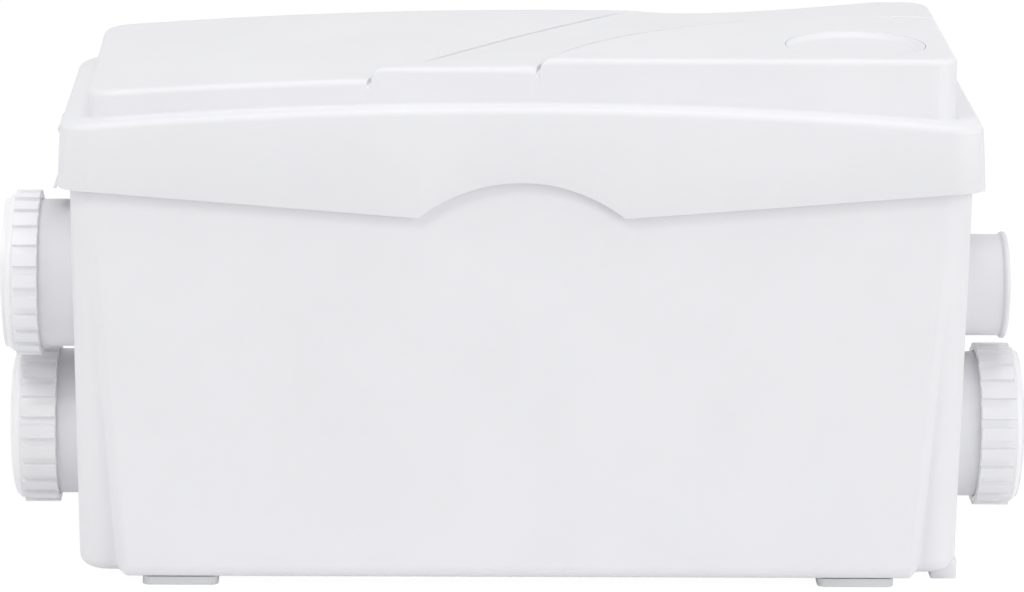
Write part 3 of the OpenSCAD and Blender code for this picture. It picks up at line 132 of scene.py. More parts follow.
# %% [markdown]
# ## A moulded finish
# Most of the object is moulded plastic. The steel mould is spark-eroded, so the plastic comes out with a
# very fine, even grain that softens its highlights. Its colour drifts a little where the plastic cooled at
# different speeds. The same three parts make each plastic here: a slow noise between two close colours, a
# fine noise that moves the roughness, and the same fine noise as a shallow bump. The true grain is about
# 0.1 mm, finer than a pixel, so it is drawn at the size given for each finish.
# %% Moulded plastics and rubber
# The colour drifts over this many millimetres in plastics, and in metals
PLASTIC_DRIFT, METAL_DRIFT = 45, 20


def moulded(name, light, dark, rough, grain_mm, grain_depth, sheen=0.0):
    """A moulded finish: two close colours, an even grain and, for rubber, some sheen."""
    made, tree, shader, place = new_material(name)
    drift = add_node(tree, "TexNoise", {"Vector": place, "Scale": per_mm(PLASTIC_DRIFT), "Detail": 3.0})
    blend = add_node(tree, "MapRange", {"Value": drift.outputs[0], "From Min": 0.35, "From Max": 0.65})
    colour = add_node(tree, "Mix", {0: blend.outputs[0], 6: paint(light), 7: paint(dark)}, data_type="RGBA")
    grain = add_node(tree, "TexNoise", {"Vector": place, "Scale": per_mm(grain_mm), "Detail": 2.0})
    add_relief(tree, shader, grain.outputs[0], rough, swing=0.05, strength=0.5, depth_mm=grain_depth)
    tree.links.new(colour.outputs[2], shader.inputs["Base Color"])
    shader.inputs["Sheen Weight"].default_value = sheen
    return made


# Each finish gives its two colours, its roughness, and the size and depth of its grain in millimetres.
# ABS shell: white, semi-gloss, with a faint grain that breaks the highlights
white_abs = moulded("moulded_white_abs", "#E9E9EC", "#E7E7EA", 0.5, 0.9, 0.03)
# Polypropylene fittings: waxier and smoother than the shell; their colour is whiter than the shell's partly
# as painted light, which brightens the ribs' fronts that the lamps leave dim
polypropylene_painted_light = moulded("moulded_polypropylene_painted_light", "#F3F3F5", "#F0F0F3", 0.36, 1.2, 0.02)
# Pale grey nylon for the deck, the riser, the slip rings and the terminals
grey_nylon = moulded("moulded_pale_grey_nylon", "#C9CBCD", "#BDBFC2", 0.5, 1.0, 0.05)
# Black glass-filled nylon: dull, with a deeper grain from its fibres
black_nylon = moulded("moulded_black_nylon", "#26272A", "#1B1C1E", 0.55, 1.1, 0.08)
# EPDM rubber: near black, soft light at grazing angles, no clear highlight
epdm_rubber = moulded("moulded_epdm_rubber", "#232426", "#191A1B", 0.78, 1.3, 0.06, sheen=0.15)
# Thermoplastic elastomer feet: pale and matt
foot_elastomer = moulded("moulded_foot_elastomer", "#D9DADB", "#CFD0D2", 0.7, 1.4, 0.06)
# Red nylon for the switch plunger
red_nylon = moulded("moulded_red_nylon", "#B3261E", "#9E1F19", 0.42, 1.0, 0.03)
print("moulded finishes:", [m.name for m in bpy.data.materials if m.name.startswith("moulded_")])

# %% [markdown]
# ## Metals, wire and carbon
# The pump inside has turned stainless steel, cast aluminium, stamped steel sheets, enamelled copper and a
# bed of carbon grains. Each has a pattern with a real direction or size. Turned steel has fine tool marks
# and cast aluminium a sandy skin. Stamped sheets show as thin layers, wound wire as rounded ridges, and
# carbon as angular grains. The patterns read Object coordinates, so they don't slide when the object moves.
# %% Metals, wire and carbon
def per_band(size):
    """The scale of a wave pattern whose level bands are size millimetres apart."""
    return per_mm(size) * pi / 10


def metal(name, colour, rough, pattern, depth_mm, inputs, metallic=1.0, **settings):
    """A metal or grainy finish whose pattern drives both a bump and a small change of roughness."""
    made, tree, shader, place = new_material(name)
    marks = add_node(tree, pattern, {"Vector": place, **inputs}, **settings)
    drift = add_node(tree, "TexNoise", {"Vector": place, "Scale": per_mm(METAL_DRIFT), "Detail": 3.0})
    tint = add_node(tree, "MapRange", {"Value": drift.outputs[0], "To Min": 0.86, "To Max": 1.0})
    base = add_node(tree, "Mix", {0: 1.0, 6: paint(colour), 7: tint.outputs[0]}, data_type="RGBA",
                    blend_type="MULTIPLY")
    add_relief(tree, shader, marks.outputs[0], rough, swing=0.06, strength=0.6, depth_mm=depth_mm)
    tree.links.new(base.outputs[2], shader.inputs["Base Color"])
    shader.inputs["Metallic"].default_value = metallic
    return made


# Turned stainless steel: its tool marks are finer than a pixel, so an even noise of 0.8 mm stands for them
stainless_steel = metal("turned_stainless_steel", "#C6C8CB", 0.28, "TexNoise", 0.02,
                        inputs={"Scale": per_mm(0.8), "Detail": 2.0})
# Stamped electrical steel: 0.5 mm sheets, drawn 2.4 mm apart so that they show
stamped_core_steel = metal("stamped_core_steel", "#8C8F94", 0.45, "TexWave", 0.12,
                           inputs={"Scale": per_band(2.4), "Distortion": 0.0}, bands_direction="Z")
# Enamelled copper wire, wound in slanting ridges about 2 mm apart
enamelled_copper = metal("enamelled_copper_wire", "#B3672F", 0.3, "TexWave", 0.25,
                         inputs={"Scale": per_band(1.8), "Distortion": 0.6}, bands_direction="DIAGONAL")
# Die-cast aluminium: sandy skin with grains near 0.9 mm
cast_aluminium = metal("die_cast_aluminium", "#B4B6B8", 0.48, "TexNoise", 0.06,
                       inputs={"Scale": per_mm(0.9), "Detail": 4.0})
# Activated carbon: angular grains 1.6 mm across
activated_carbon = metal("activated_carbon_grains", "#202122", 0.8, "TexVoronoi", 0.7,
                         inputs={"Scale": per_mm(1.6)}, metallic=0.0)
print("materials, with the plain ones of the frame:", len(bpy.data.materials))

# %% [markdown]
# ## From millimetres to a finished piece
# The pieces are modelled in millimetres, because that is how such parts are drawn, and scaled to metres at
# the end. Each piece keeps its object at the origin with its place in its mesh, rides on one body of the
# frame, and says which CAD node it stands for. Its faces have to look outwards, so every separate shell of
# a mesh is tested, and turned if it looks inwards. Small helpers make the two starting shapes that come
# back again and again: a plate with round corners, and a block with its edges eased.
# %% Helpers for shapes
def turn_outwards(bm):
    """Turns each separate shell of a mesh whose faces point inwards."""
    left = set(bm.faces)
    while left:
        shell, border = [], [left.pop()]
        while border:
            face = border.pop()
            shell.append(face)
            near = {other for edge in face.edges for other in edge.link_faces if other in left}
            left -= near
            border.extend(near)
        if sum(f.calc_center_median().dot(f.normal) * f.calc_area() for f in shell) < 0:
            bmesh.ops.reverse_faces(bm, faces=shell)


def finish_piece(name, bm, material, body, slot_name, *nodes, crease=32):
    """Scales a mesh in millimetres to metres and hangs it on its body in the frame."""
    bm.normal_update()
    turn_outwards(bm)
    bmesh.ops.scale(bm, vec=(MM, MM, MM), verts=bm.verts)
    mesh = bpy.data.meshes.new(name)
    bm.to_mesh(mesh)
    bm.free()
    mesh.materials.append(material)
    mesh.shade_smooth()
    mesh.set_sharp_from_angle(angle=radians(crease))
    piece = bpy.data.objects.new(name, mesh)
    scene.collection.objects.link(piece)
    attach(piece, body)
    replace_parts(piece, *nodes)
    return piece


def rounded_plate(bm, width, depth, radius, z, y=0.0):
    """One flat face with round corners, from a one-cell grid whose corners are beveled."""
    before = set(bm.faces)
    corners = bmesh.ops.create_grid(bm, x_segments=1, y_segments=1, size=0.5)["verts"]
    bmesh.ops.scale(bm, vec=(width, depth, 1), verts=corners)
    bmesh.ops.translate(bm, vec=(0, y, z), verts=corners)
    bmesh.ops.bevel(bm, geom=corners, offset=radius, offset_type="OFFSET", segments=12, profile=0.5,
                    affect="VERTICES", material=-1)
    return next(f for f in bm.faces if f not in before)


def raise_face(bm, face, height):
    """Pulls a face up and returns the face at the new height."""
    pulled = bmesh.ops.extrude_face_region(bm, geom=[face])["geom"]
    verts = [v for v in pulled if isinstance(v, bmesh.types.BMVert)]
    bmesh.ops.translate(bm, vec=(0, 0, height), verts=verts)
    return next(f for f in pulled if isinstance(f, bmesh.types.BMFace))


def ease(bm, edges, radius, steps=2):
    """Rounds edges with a bevel of the given radius."""
    bmesh.ops.bevel(bm, geom=list(edges), offset=radius, offset_type="OFFSET", segments=steps, profile=0.5,
                    affect="EDGES", material=-1)


def border_of(faces):
    """The edges between some faces and the rest of their mesh."""
    faces = set(faces)
    return {e for f in faces for e in f.edges if any(g not in faces for g in e.link_faces)}


def add_block(bm, low, high, radius, side=1):
    """A small block from corner to corner, with its edges eased; side -1 puts it at the mirrored place."""
    low, high = Vector(low), Vector(high)
    middle = (high + low) / 2
    verts = bmesh.ops.create_cube(bm, size=1)["verts"]
    bmesh.ops.scale(bm, vec=high - low, verts=verts)
    bmesh.ops.translate(bm, vec=(side * middle.x, middle.y, middle.z), verts=verts)
    ease(bm, {e for v in verts for e in v.link_edges}, radius)


def spin_profile(bm, points, steps, closed=True):
    """Turns a profile of (radius, height) points round the Z axis; returns the new vertices."""
    before = set(bm.verts)
    verts = [bm.verts.new((r, 0, z)) for r, z in points]
    pairs = zip(verts, verts[1:] + verts[:1]) if closed else zip(verts, verts[1:])
    edges = [bm.edges.new(pair) for pair in pairs]
    bmesh.ops.spin(bm, geom=verts + edges, cent=(0, 0, 0), axis=(0, 0, 1), angle=2 * pi, steps=steps,
                   use_merge=True)
    # Points on the axis fall together
    made = [v for v in bm.verts if v not in before]
    bmesh.ops.remove_doubles(bm, verts=made, dist=0.0005)
    return [v for v in bm.verts if v not in before]


def lerp(a, b, t):
    """The value a share t of the way from a to b."""
    return a + (b - a) * t


def clamp(t):
    """A value kept between 0 and 1."""
    return min(max(t, 0.0), 1.0)


def smooth(t):
    """An S-shaped ramp from 0 to 1."""
    t = clamp(t)
    return t * t * (3 - 2 * t)


print("helpers ready")

# %% [markdown]
# ## The lid: how high its top is
# The lid is the part that everyone sees. Its flange is crowned along its length. On it stands a raised
# plateau in three levels, parted by two long arcs. At the front edge each arc starts as a deep cut with a
# tall step, and both steps soon melt away, so that only a thin groove runs on to the back. The easiest way
# to such a top is a function that gives the height at any place, fitted to heights read along the
# photograph's edges.
# %% Heights of the lid
# The lid's width, depth and corner radius
LID_W, LID_D, LID_R = 352.0, 136.0, 13.0
# The plateau's half width, front and back edge, and corner radius
TOP_X, TOP_FRONT, TOP_BACK, TOP_R = 165.5, -60.0, 61.0, 10.0
# The skirt's lower edge beside the notch and at the corners, half the notch's width, its height
SKIRT_LOW, SKIRT_END, NOTCH_HALF, NOTCH_H = 148.0, 157.7, 39.3, 13.8
# The skirt's lower edge rises from beside the notch to the corners
SLOPE_IN, SLOPE_OUT = NOTCH_HALF + 1, 164
# Each arc: the x and y of its centre, and its radius
ARC_A = (843.9, -754.2, 1137.7)
ARC_B = (144.8, -126.6, 153.5)
# Arc B's groove fades out near this share of the depth; the arc rules this far outside itself
ARC_B_SHARE, ARC_B_REACH = 0.71, 2.2
# The flange's height in the middle, and the radius of its crown
FLANGE_TOP, CROWN_R = 190.9, 2000.0
# The left level: its height at the front, its rise to the back, the place of its crest
LEVEL_1, LEVEL_1_RISE, CREST_X = 201.27, 3.6, 15
# How strongly it is crowned at the front, and how much more at the back
CROWN_FRONT, CROWN_MORE = 1.99e-4, 0.24e-4
# The right level is flat
LEVEL_3 = 208.4
# How tall both steps start at the front, the share of the depth over which they fade, the middle level's sag
STEP_A, STEP_B, STEP_FADE, SAG = 5.0, 3.7, 0.13, 2.2
# The rounding of a step's upper edge, the groove's width and the width of its slanting side
STEP_R, GROOVE_W, GROOVE_SIDE = 3.0, 1.7, 0.2
# The groove's depth, and how much deeper it is at the front
GROOVE_DEPTH, GROOVE_MORE = 1.3, 0.5


def inside(arc, x, y):
    """How far a place is inside an arc, in millimetres; negative outside it."""
    return arc[2] - hypot(x - arc[0], y - arc[1])


def arc_x(arc, y):
    """Where an arc crosses a line across the lid, on its left side."""
    return arc[0] - sqrt(max(arc[2] ** 2 - (y - arc[1]) ** 2, 0.0))


def flange_height(x):
    """The crowned flange."""
    return FLANGE_TOP - (CROWN_R - sqrt(CROWN_R ** 2 - x * x))


def first_level(x, t):
    """The left level, crowned along the lid and rising to the back."""
    crown = CROWN_FRONT + CROWN_MORE * t
    return LEVEL_1 + LEVEL_1_RISE * t - crown * (x - CREST_X) ** 2


def second_level(x, y, t):
    """The middle level: a skin stretched between the two arcs."""
    left = arc_x(ARC_A, y)
    right = min(arc_x(ARC_B, y), TOP_X)
    s = clamp((x - left) / max(right - left, 1.0))
    fade = exp(-t / STEP_FADE)
    low = first_level(left, t) + STEP_A * fade
    high = LEVEL_3 - STEP_B * fade
    return lerp(low, high, s) - SAG * t ** 3 * sin(pi * s ** 0.7)


def across_step(d, low, high, depth):
    """The height d millimetres inside an arc: a groove before the riser, a rounded edge after it."""
    if d < 0:
        return low - depth * clamp((d + GROOVE_W) / GROOVE_SIDE)
    drop = STEP_R - sqrt(STEP_R ** 2 - (STEP_R - min(d, STEP_R)) ** 2)
    return high - drop * clamp((high - low) / STEP_R)


def top_height(x, y):
    """The height of the plateau at a place."""
    t = clamp((y - TOP_FRONT) / (TOP_BACK - TOP_FRONT))
    middle = second_level(x, y, t)
    groove = GROOVE_DEPTH + GROOVE_MORE * exp(-(t / 0.07) ** 2)
    b = inside(ARC_B, x, y)
    if b > -ARC_B_REACH:
        return across_step(b, middle, LEVEL_3, groove * clamp((1.05 - t / ARC_B_SHARE) * 8))
    return across_step(inside(ARC_A, x, y), first_level(x, t), middle, groove * clamp(8 * (1 - t)))


def skirt_edge(x):
    """The lower edge of the skirt: level at the ends, falling to the notch, and an arc in the middle."""
    x = abs(x)
    if x < NOTCH_HALF:
        r = (NOTCH_HALF ** 2 + NOTCH_H ** 2) / (2 * NOTCH_H)
        return SKIRT_LOW + sqrt(r * r - x * x) - (r - NOTCH_H)
    return lerp(SKIRT_LOW, SKIRT_END, clamp((x - SLOPE_IN) / (SLOPE_OUT - SLOPE_IN)))


for place in ((-164, -60), (-53, -60), (6, -60), (60, -60), (0, 61), (150, 61)):
    print("top at", place, "is", round(top_height(*place), 1))

# %% [markdown]
# ## The lid: its body
# A flat version of the lid is made first: a rounded plate is pulled up as the skirt, a smaller plate on it
# as the plateau, and their edges are rounded. Then the flat lid is cut, like a cake, into columns and along
# both arcs, so that there are points where the surface will bend. Last, the height function lifts every
# point. Cutting before bending gives clean steps that a plain grid would blur.
# %% Lid body
def parts_of(faces):
    """Faces with their corners and edges, as the cutting operator wants them."""
    geom = set(faces)
    for f in faces:
        geom.update(f.verts)
        geom.update(f.edges)
    return list(geom)


def cut(bm, faces, at, normal):
    """Cuts faces with a plane, leaves the new edges in the mesh and returns the faces."""
    made = bmesh.ops.bisect_plane(bm, geom=parts_of(faces), dist=1e-4, plane_co=at, plane_no=normal)
    return [g for g in made["geom"] if isinstance(g, bmesh.types.BMFace)]


def drop_plates(bm, kept):
    """Deletes the many-sided flat faces, apart from the one that is kept."""
    plates = [f for f in bm.faces if len(f.verts) > 8 and f is not kept]
    bmesh.ops.delete(bm, geom=plates, context="FACES_ONLY")


def level_edges(bm, z):
    """The edges at one height where a flat face meets a wall."""
    found = [e for e in bm.edges if all(abs(v.co.z - z) < 0.01 for v in e.verts) and len(e.link_faces) == 2]
    return [e for e in found if abs(e.link_faces[0].normal.z - e.link_faces[1].normal.z) > 0.5]


# The heights of the flat lid, and the roundings of its rim, of the plateau's foot and of the top's edge
FLAT_FLANGE, FLAT_TOP = 185, 200
RIM_R, FOOT_R, EDGE_R = 3.0, 1.0, 2.6
lid = bmesh.new()
base = rounded_plate(lid, LID_W, LID_D, LID_R, SKIRT_LOW)
flange = raise_face(lid, base, FLAT_FLANGE - SKIRT_LOW)
drop_plates(lid, flange)
ring = list(flange.edges)
bmesh.ops.delete(lid, geom=[flange], context="FACES_ONLY")
middle_y = (TOP_BACK + TOP_FRONT) / 2
plateau = rounded_plate(lid, 2 * TOP_X, TOP_BACK - TOP_FRONT, TOP_R, FLAT_FLANGE, y=middle_y)
inner_ring = list(plateau.edges)
top = raise_face(lid, plateau, FLAT_TOP - FLAT_FLANGE)
drop_plates(lid, top)
bmesh.ops.bridge_loops(lid, edges=ring + [e for e in inner_ring if e.is_valid])
bmesh.ops.recalc_face_normals(lid, faces=lid.faces)
rim = [e for e in level_edges(lid, FLAT_FLANGE)
       if all(abs(v.co.x) > TOP_X + 1 or abs(v.co.y) > TOP_BACK + 2 for v in e.verts)]
foot = [e for e in level_edges(lid, FLAT_FLANGE) if e not in rim]
ease(lid, rim, RIM_R, steps=5)
ease(lid, [e for e in foot if e.is_valid], FOOT_R, steps=3)
ease(lid, level_edges(lid, FLAT_TOP), EDGE_R, steps=5)

# The filter cap's place and radius, and half the side of the square patch that its seat fills
CAP_X, CAP_Y, CAP_R, PATCH = 128.6, -29.7, 27.0, 27.3
special = [-SLOPE_OUT, -SLOPE_IN, -NOTCH_HALF, NOTCH_HALF, SLOPE_IN, SLOPE_OUT, CAP_X - PATCH, CAP_X + PATCH]
regular = [*range(-156, -60, 8), *range(-58, 164, 4)]
columns = sorted(special + [x for x in regular if min(abs(x - p) for p in special) > 0.8])
for x in columns:
    cut(lid, lid.faces[:], (x, 0, 0), (1, 0, 0))
for y in [*range(-52, 58, 8), CAP_Y - PATCH, CAP_Y + PATCH]:
    cut(lid, [f for f in lid.faces if f.calc_center_median().z > FLAT_TOP - 0.1], (0, y, 0), (0, 1, 0))
print("flat lid:", len(lid.faces), "faces in", len(columns) + 1, "columns")

# %% [markdown]
# ## The lid: cuts along the arcs
# Within one column an arc is nearly straight, so a plane through its two ends there cuts along it. Eight
# such cuts lie side by side along each arc: the groove, the foot and head of the riser, and its rounded edge.
# %% Cuts along the arcs
STEP_CUTS = (-GROOVE_W, GROOVE_SIDE - GROOVE_W, -0.12, 0.12, 0.45, 0.95, 1.8, STEP_R)


def cut_along(bm, faces, arc, offset, x0, x1):
    """Cuts the faces of one column along an arc; returns the faces of the column."""
    r = arc[2] - offset
    if abs(x0 - arc[0]) >= r:
        return faces
    y0 = arc[1] + sqrt(r * r - (x0 - arc[0]) ** 2)
    y1 = arc[1] + sqrt(r * r - (x1 - arc[0]) ** 2)
    if max(y0, y1) < TOP_FRONT - 1 or min(y0, y1) > TOP_BACK + 1:
        return faces
    return cut(bm, faces, (x0, y0, 0), (y1 - y0, x0 - x1, 0))


walls = [-TOP_X, *[x for x in columns if abs(x) < TOP_X], TOP_X]
raised = {}
for f in lid.faces:
    middle = f.calc_center_median()
    if middle.z > FLAT_FLANGE + 1.2 and abs(middle.x) < TOP_X:
        raised.setdefault(sum(middle.x > x for x in walls) - 1, []).append(f)
for i, faces in raised.items():
    for arc in (ARC_A, ARC_B):
        for offset in STEP_CUTS:
            faces = cut_along(lid, faces, arc, offset, walls[i], walls[i + 1])
print("after the arcs:", len(lid.faces), "faces")

# %% [markdown]
# ## The lid: lifted to its real heights
# Each point moves up or down, and the lower part of the skirt also leans out a little. Between the levels
# that the flat lid had, the move is blended, so that the roundings keep their radius while the walls
# between them stretch. Then the seat of the filter cap is let in, and the sheet gets its thickness.
# %% Lift the lid
# Heights on the flat lid: the skirt's top, and the foot and head of the plateau's wall
SKIRT_TOP, WALL_FOOT, WALL_HEAD = FLAT_FLANGE - RIM_R, FLAT_FLANGE + 1.05, FLAT_TOP - EDGE_R
# How far the skirt's ends lean out, from which x on, and half the width that is left to the clips
SKIRT_DRAFT, ENDS_FROM, CLIP_HALF = 1.3, 168, 26
LID_WALL = 2.2


def lifted(co):
    """The real height of a point of the flat lid."""
    x, y, z = co
    crown = flange_height(x)
    top = top_height(x, y)
    if z <= SKIRT_TOP:
        return lerp(skirt_edge(x), crown - RIM_R, (z - SKIRT_LOW) / (SKIRT_TOP - SKIRT_LOW))
    if z <= WALL_FOOT:
        return crown + z - FLAT_FLANGE
    if z <= WALL_HEAD:
        share = (z - WALL_FOOT) / (WALL_HEAD - WALL_FOOT)
        return lerp(crown + WALL_FOOT - FLAT_FLANGE, top - EDGE_R, share)
    return top + z - FLAT_TOP


def skirt_draft(co):
    """How far the skirt's ends lean out: most at the lower edge, and not at all beside the clips."""
    share = max(0.0, (SKIRT_TOP - co.z) / (SKIRT_TOP - SKIRT_LOW))
    at_end = smooth((abs(co.x) - ENDS_FROM) / 6)
    beside_clip = smooth((abs(co.y) - CLIP_HALF) / 10)
    return SKIRT_DRAFT * share * at_end * beside_clip


for v in lid.verts:
    v.co.x += skirt_draft(v.co) * (1 if v.co.x > 0 else -1)
    v.co.z = lifted(v.co)
hole = [f for f in lid.faces if f.calc_center_median().z > 207
        and abs(f.calc_center_median().x - CAP_X) < PATCH and abs(f.calc_center_median().y - CAP_Y) < PATCH]
edge = border_of(hole)
bmesh.ops.delete(lid, geom=hole, context="FACES")
seat_profile = [(CAP_R + 0.15, LEVEL_3), (CAP_R, 208.2), (CAP_R, 205.6), (24, 205.6), (24, 200.6)]
seat = spin_profile(lid, seat_profile, 96, closed=False)
bmesh.ops.translate(lid, vec=(CAP_X, CAP_Y, 0), verts=seat)
lip = {e for v in seat for e in v.link_edges if all(abs(w.co.z - LEVEL_3) < 1e-3 for w in e.verts)}
loops = [e for e in edge if e.is_valid] + list(lip)
bmesh.ops.triangle_fill(lid, edges=loops, use_beauty=True, normal=(0, 0, 1))
bmesh.ops.recalc_face_normals(lid, faces=lid.faces)
if sum(f.normal.z * f.calc_area() for f in lid.faces if f.calc_center_median().z > 190) < 0:
    bmesh.ops.reverse_faces(lid, faces=lid.faces)
bmesh.ops.solidify(lid, geom=lid.faces[:], thickness=LID_WALL)
lip_faces = [f for f in lid.faces if f.calc_center_median().z < 165 and abs(f.normal.z) > 0.6]
ease(lid, border_of(lip_faces), 0.5)
print("lid shell:", len(lid.faces), "faces, top at", round(max(v.co.z for v in lid.verts), 2),
      "half width", round(max(v.co.x for v in lid.verts), 2),
      "open edges", sum(e.is_boundary for e in lid.edges))

# %% [markdown]
# ## The lid: ears and finish
# Under the skirt each end of the lid has two ears, which hold the pin of a clip. They are small closed
# shapes of their own that run into the lid's wall, as ribs do in a moulding. The rib that presses the
# gasket is in the CAD model alone.
# %% Lid ears
# The clip pin's place, then the ears' place, radius and thickness
PIN_X, PIN_Z, EAR_Y, EAR_R, EAR_THICK = 178.05, 170, 9.8, 1.95, 3
for side in (-1, 1):
    for y in (-EAR_Y, EAR_Y):
        add_block(lid, (174.6, y - 1.5, 168.1), (178.4, y + 1.5, 171.9), radius=0.3, side=side)
        ear = bmesh.ops.create_cone(lid, cap_ends=True, segments=32, radius1=EAR_R, radius2=EAR_R,
                                    depth=EAR_THICK)["verts"]
        bmesh.ops.rotate(lid, verts=ear, matrix=Matrix.Rotation(radians(90), 3, "X"))
        bmesh.ops.translate(lid, verts=ear, vec=(side * PIN_X, y, PIN_Z))
lid_piece = finish_piece("lid_moulding", lid, white_abs, "lid", "white_shell", "lid_cover", crease=34)
print(lid_piece.name, "rides on the lid")

# %% [markdown]
# ## The round cap in the lid
# A round cap closes the carbon filter's chamber. From above it is a shallow dish, so one side of it catches
# the light and the other is in shade. It is one profile turned round its axis: dish, rim, and the tube
# below, with two bayonet lugs.
# %% Filter cap
cap = bmesh.new()
dish = [(0, 206.4), (8, 206.35), (16, 206.3), (22, 206.25), (23.6, 206.35), (24.5, 206.75), (25.4, 207.6),
        (25.9, 208.0), (26.4, 208.25), (26.8, 208.2), (26.88, 207.9), (26.88, 205.62), (23.7, 205.62),
        (23.7, 198.1), (21.7, 198.1), (21.7, 205.62), (0, 205.62)]
spin_profile(cap, dish, 96, closed=False)
lug_corners = ((23.2, 198.1), (26.68, 198.1), (26.68, 200.28), (23.2, 200.28))
for turn in (0, 180):
    lug = [cap.verts.new((r, 0, z)) for r, z in lug_corners]
    face = cap.faces.new(lug)
    bmesh.ops.rotate(cap, verts=lug, matrix=Matrix.Rotation(radians(turn - 15), 3, "Z"))
    bmesh.ops.spin(cap, geom=[face, *lug, *face.edges], cent=(0, 0, 0), axis=(0, 0, 1),
                   angle=radians(30), steps=8)
bmesh.ops.recalc_face_normals(cap, faces=cap.faces)
bmesh.ops.translate(cap, vec=(CAP_X, CAP_Y, 0), verts=cap.verts)
cap_piece = finish_piece("filter_cap_dish", cap, white_abs, "cap_in_lid", "white_shell", "filter_cap")
print(cap_piece.name, "has", len(cap_piece.data.polygons), "faces")

# %% [markdown]
# ## The tank
# The tank is a tall box with rounded corners. Below the lid its corner columns step back behind a slanted
# crease, more and more towards the floor, which gives the front its taper. A rounded plate is pulled up to
# the rim, the side walls get their holes while they are still flat, and then the corner columns are cut
# finely and pushed back by a function.
# %% Tank shell
# The tank's half width, half depth, corner radius and rim, then its underside and its wall
TANK_X, TANK_Y, TANK_R, RIM_Z = 172.8, 64.8, 12.0, 173.0
FLOOR_Z, TANK_WALL = 3.3, 3.0
# The fittings' places: which side wall, and the y and z of the axis
UPPER_LEFT, LOWER_LEFT, LOWER_RIGHT = (-1, -8.0, 111.7), (-1, 16.0, 44.5), (1, 16.0, 44.5)
OUTLET, CABLE_ENTRY = (1, 10.0, 103.5), (1, 42.0, 136.0)
INLETS = (UPPER_LEFT, LOWER_LEFT, LOWER_RIGHT)
# Each hole and its radius
HOLES = [*((place, 24.02) for place in INLETS), (OUTLET, 21.4), (CABLE_ENTRY, 6.52)]

tank = bmesh.new()
floor_face = rounded_plate(tank, 2 * TANK_X, 2 * TANK_Y, TANK_R, FLOOR_Z)
rim_face = raise_face(tank, floor_face, RIM_Z - FLOOR_Z)
bmesh.ops.delete(tank, geom=[rim_face], context="FACES_ONLY")
bmesh.ops.recalc_face_normals(tank, faces=tank.faces)
ease(tank, level_edges(tank, FLOOR_Z), 5.0, steps=5)


def wall_faces(side):
    """The faces of the tank's left or right wall."""
    return [f for f in tank.faces if f.normal.x * side > 0.99]


for (side, y, z), r in HOLES:
    half = r + (1.2 if r > 10 else 1.5)
    for at_y in (y - half, y + half):
        cut(tank, wall_faces(side), (0, at_y, 0), (0, 1, 0))
    for at_z in (z - half, z + half):
        cut(tank, wall_faces(side), (0, 0, at_z), (0, 0, 1))
    square = [f for f in wall_faces(side) if abs(f.calc_center_median().y - y) < half
              and abs(f.calc_center_median().z - z) < half]
    border = border_of(square)
    bmesh.ops.delete(tank, geom=square, context="FACES")
    circle = bmesh.ops.create_circle(tank, cap_ends=False, radius=r, segments=72 if r > 10 else 32)["verts"]
    bmesh.ops.rotate(tank, verts=circle, matrix=Matrix.Rotation(radians(90), 3, "Y"))
    bmesh.ops.translate(tank, verts=circle, vec=(side * TANK_X, y, z))
    edges = [e for e in border if e.is_valid] + list({e for v in circle for e in v.link_edges})
    bmesh.ops.triangle_fill(tank, edges=edges, use_beauty=True, normal=(side, 0, 0))
print("tank with", len(HOLES), "holes:", len(tank.faces), "faces")

# %% [markdown]
# ## The tank: its corner columns
# The crease runs from 163 mm out at the skirt to 153 mm at the floor. Outside it the surface swings back in
# an S, 4.4 mm wide. The cuts lean with the crease, so that it comes out as one clean line. Away from the
# corners the side walls only lean in by a slight draft.
# %% Set back the corners
# How far the columns step back at the floor, over what width, and below what height
SET_BACK, S_WIDTH, BACK_FROM_Z = 9.0, 4.4, 150.0
# How far out the crease is at its top and at the floor, from which y on points move, the ends' draft
CREASE_TOP, CREASE_FLOOR, CORNER_Y, TANK_DRAFT = 163.0, 152.8, 43, 1.6
for offset in (-1.5, 0, 0.5, 1.1, 1.7, 2.2, 2.7, 3.3, 3.9, S_WIDTH, 6.0):
    for side in (-1, 1):
        lean = (side * BACK_FROM_Z, 0, CREASE_FLOOR - CREASE_TOP)
        cut(tank, tank.faces[:], (side * (CREASE_FLOOR + offset), 0, 0), lean)
for z in (9, 16, *range(26, 135, 12), 148, 160):
    columns_only = [f for f in tank.faces if abs(f.calc_center_median().x) > 148 and abs(f.normal.x) < 0.995]
    cut(tank, columns_only, (0, 0, z), (0, 0, 1))


def set_back(co):
    """Where a point of the plain tank goes: the corner columns back, the ends in by a slight draft."""
    x, y, z = co
    share = max(0.0, (BACK_FROM_Z - z) / BACK_FROM_Z)
    crease = lerp(CREASE_TOP, CREASE_FLOOR, share)
    depth = SET_BACK * share * smooth((abs(x) - crease) / S_WIDTH) * smooth((abs(y) - CORNER_Y) / 8)
    draft = 1 - TANK_DRAFT / TANK_X * (1 - z / RIM_Z)
    return Vector((x * draft, y - depth * (1 if y > 0 else -1), z))


for v in tank.verts:
    v.co = set_back(v.co)
bmesh.ops.recalc_face_normals(tank, faces=tank.faces)
if sum(f.normal.x * f.calc_center_median().x * f.calc_area() for f in tank.faces) < 0:
    bmesh.ops.reverse_faces(tank, faces=tank.faces)
bmesh.ops.solidify(tank, geom=tank.faces[:], thickness=TANK_WALL)
print("tank shell:", len(tank.faces), "faces, open edges", sum(e.is_boundary for e in tank.edges),
      "half width", round(max(v.co.x for v in tank.verts), 2))

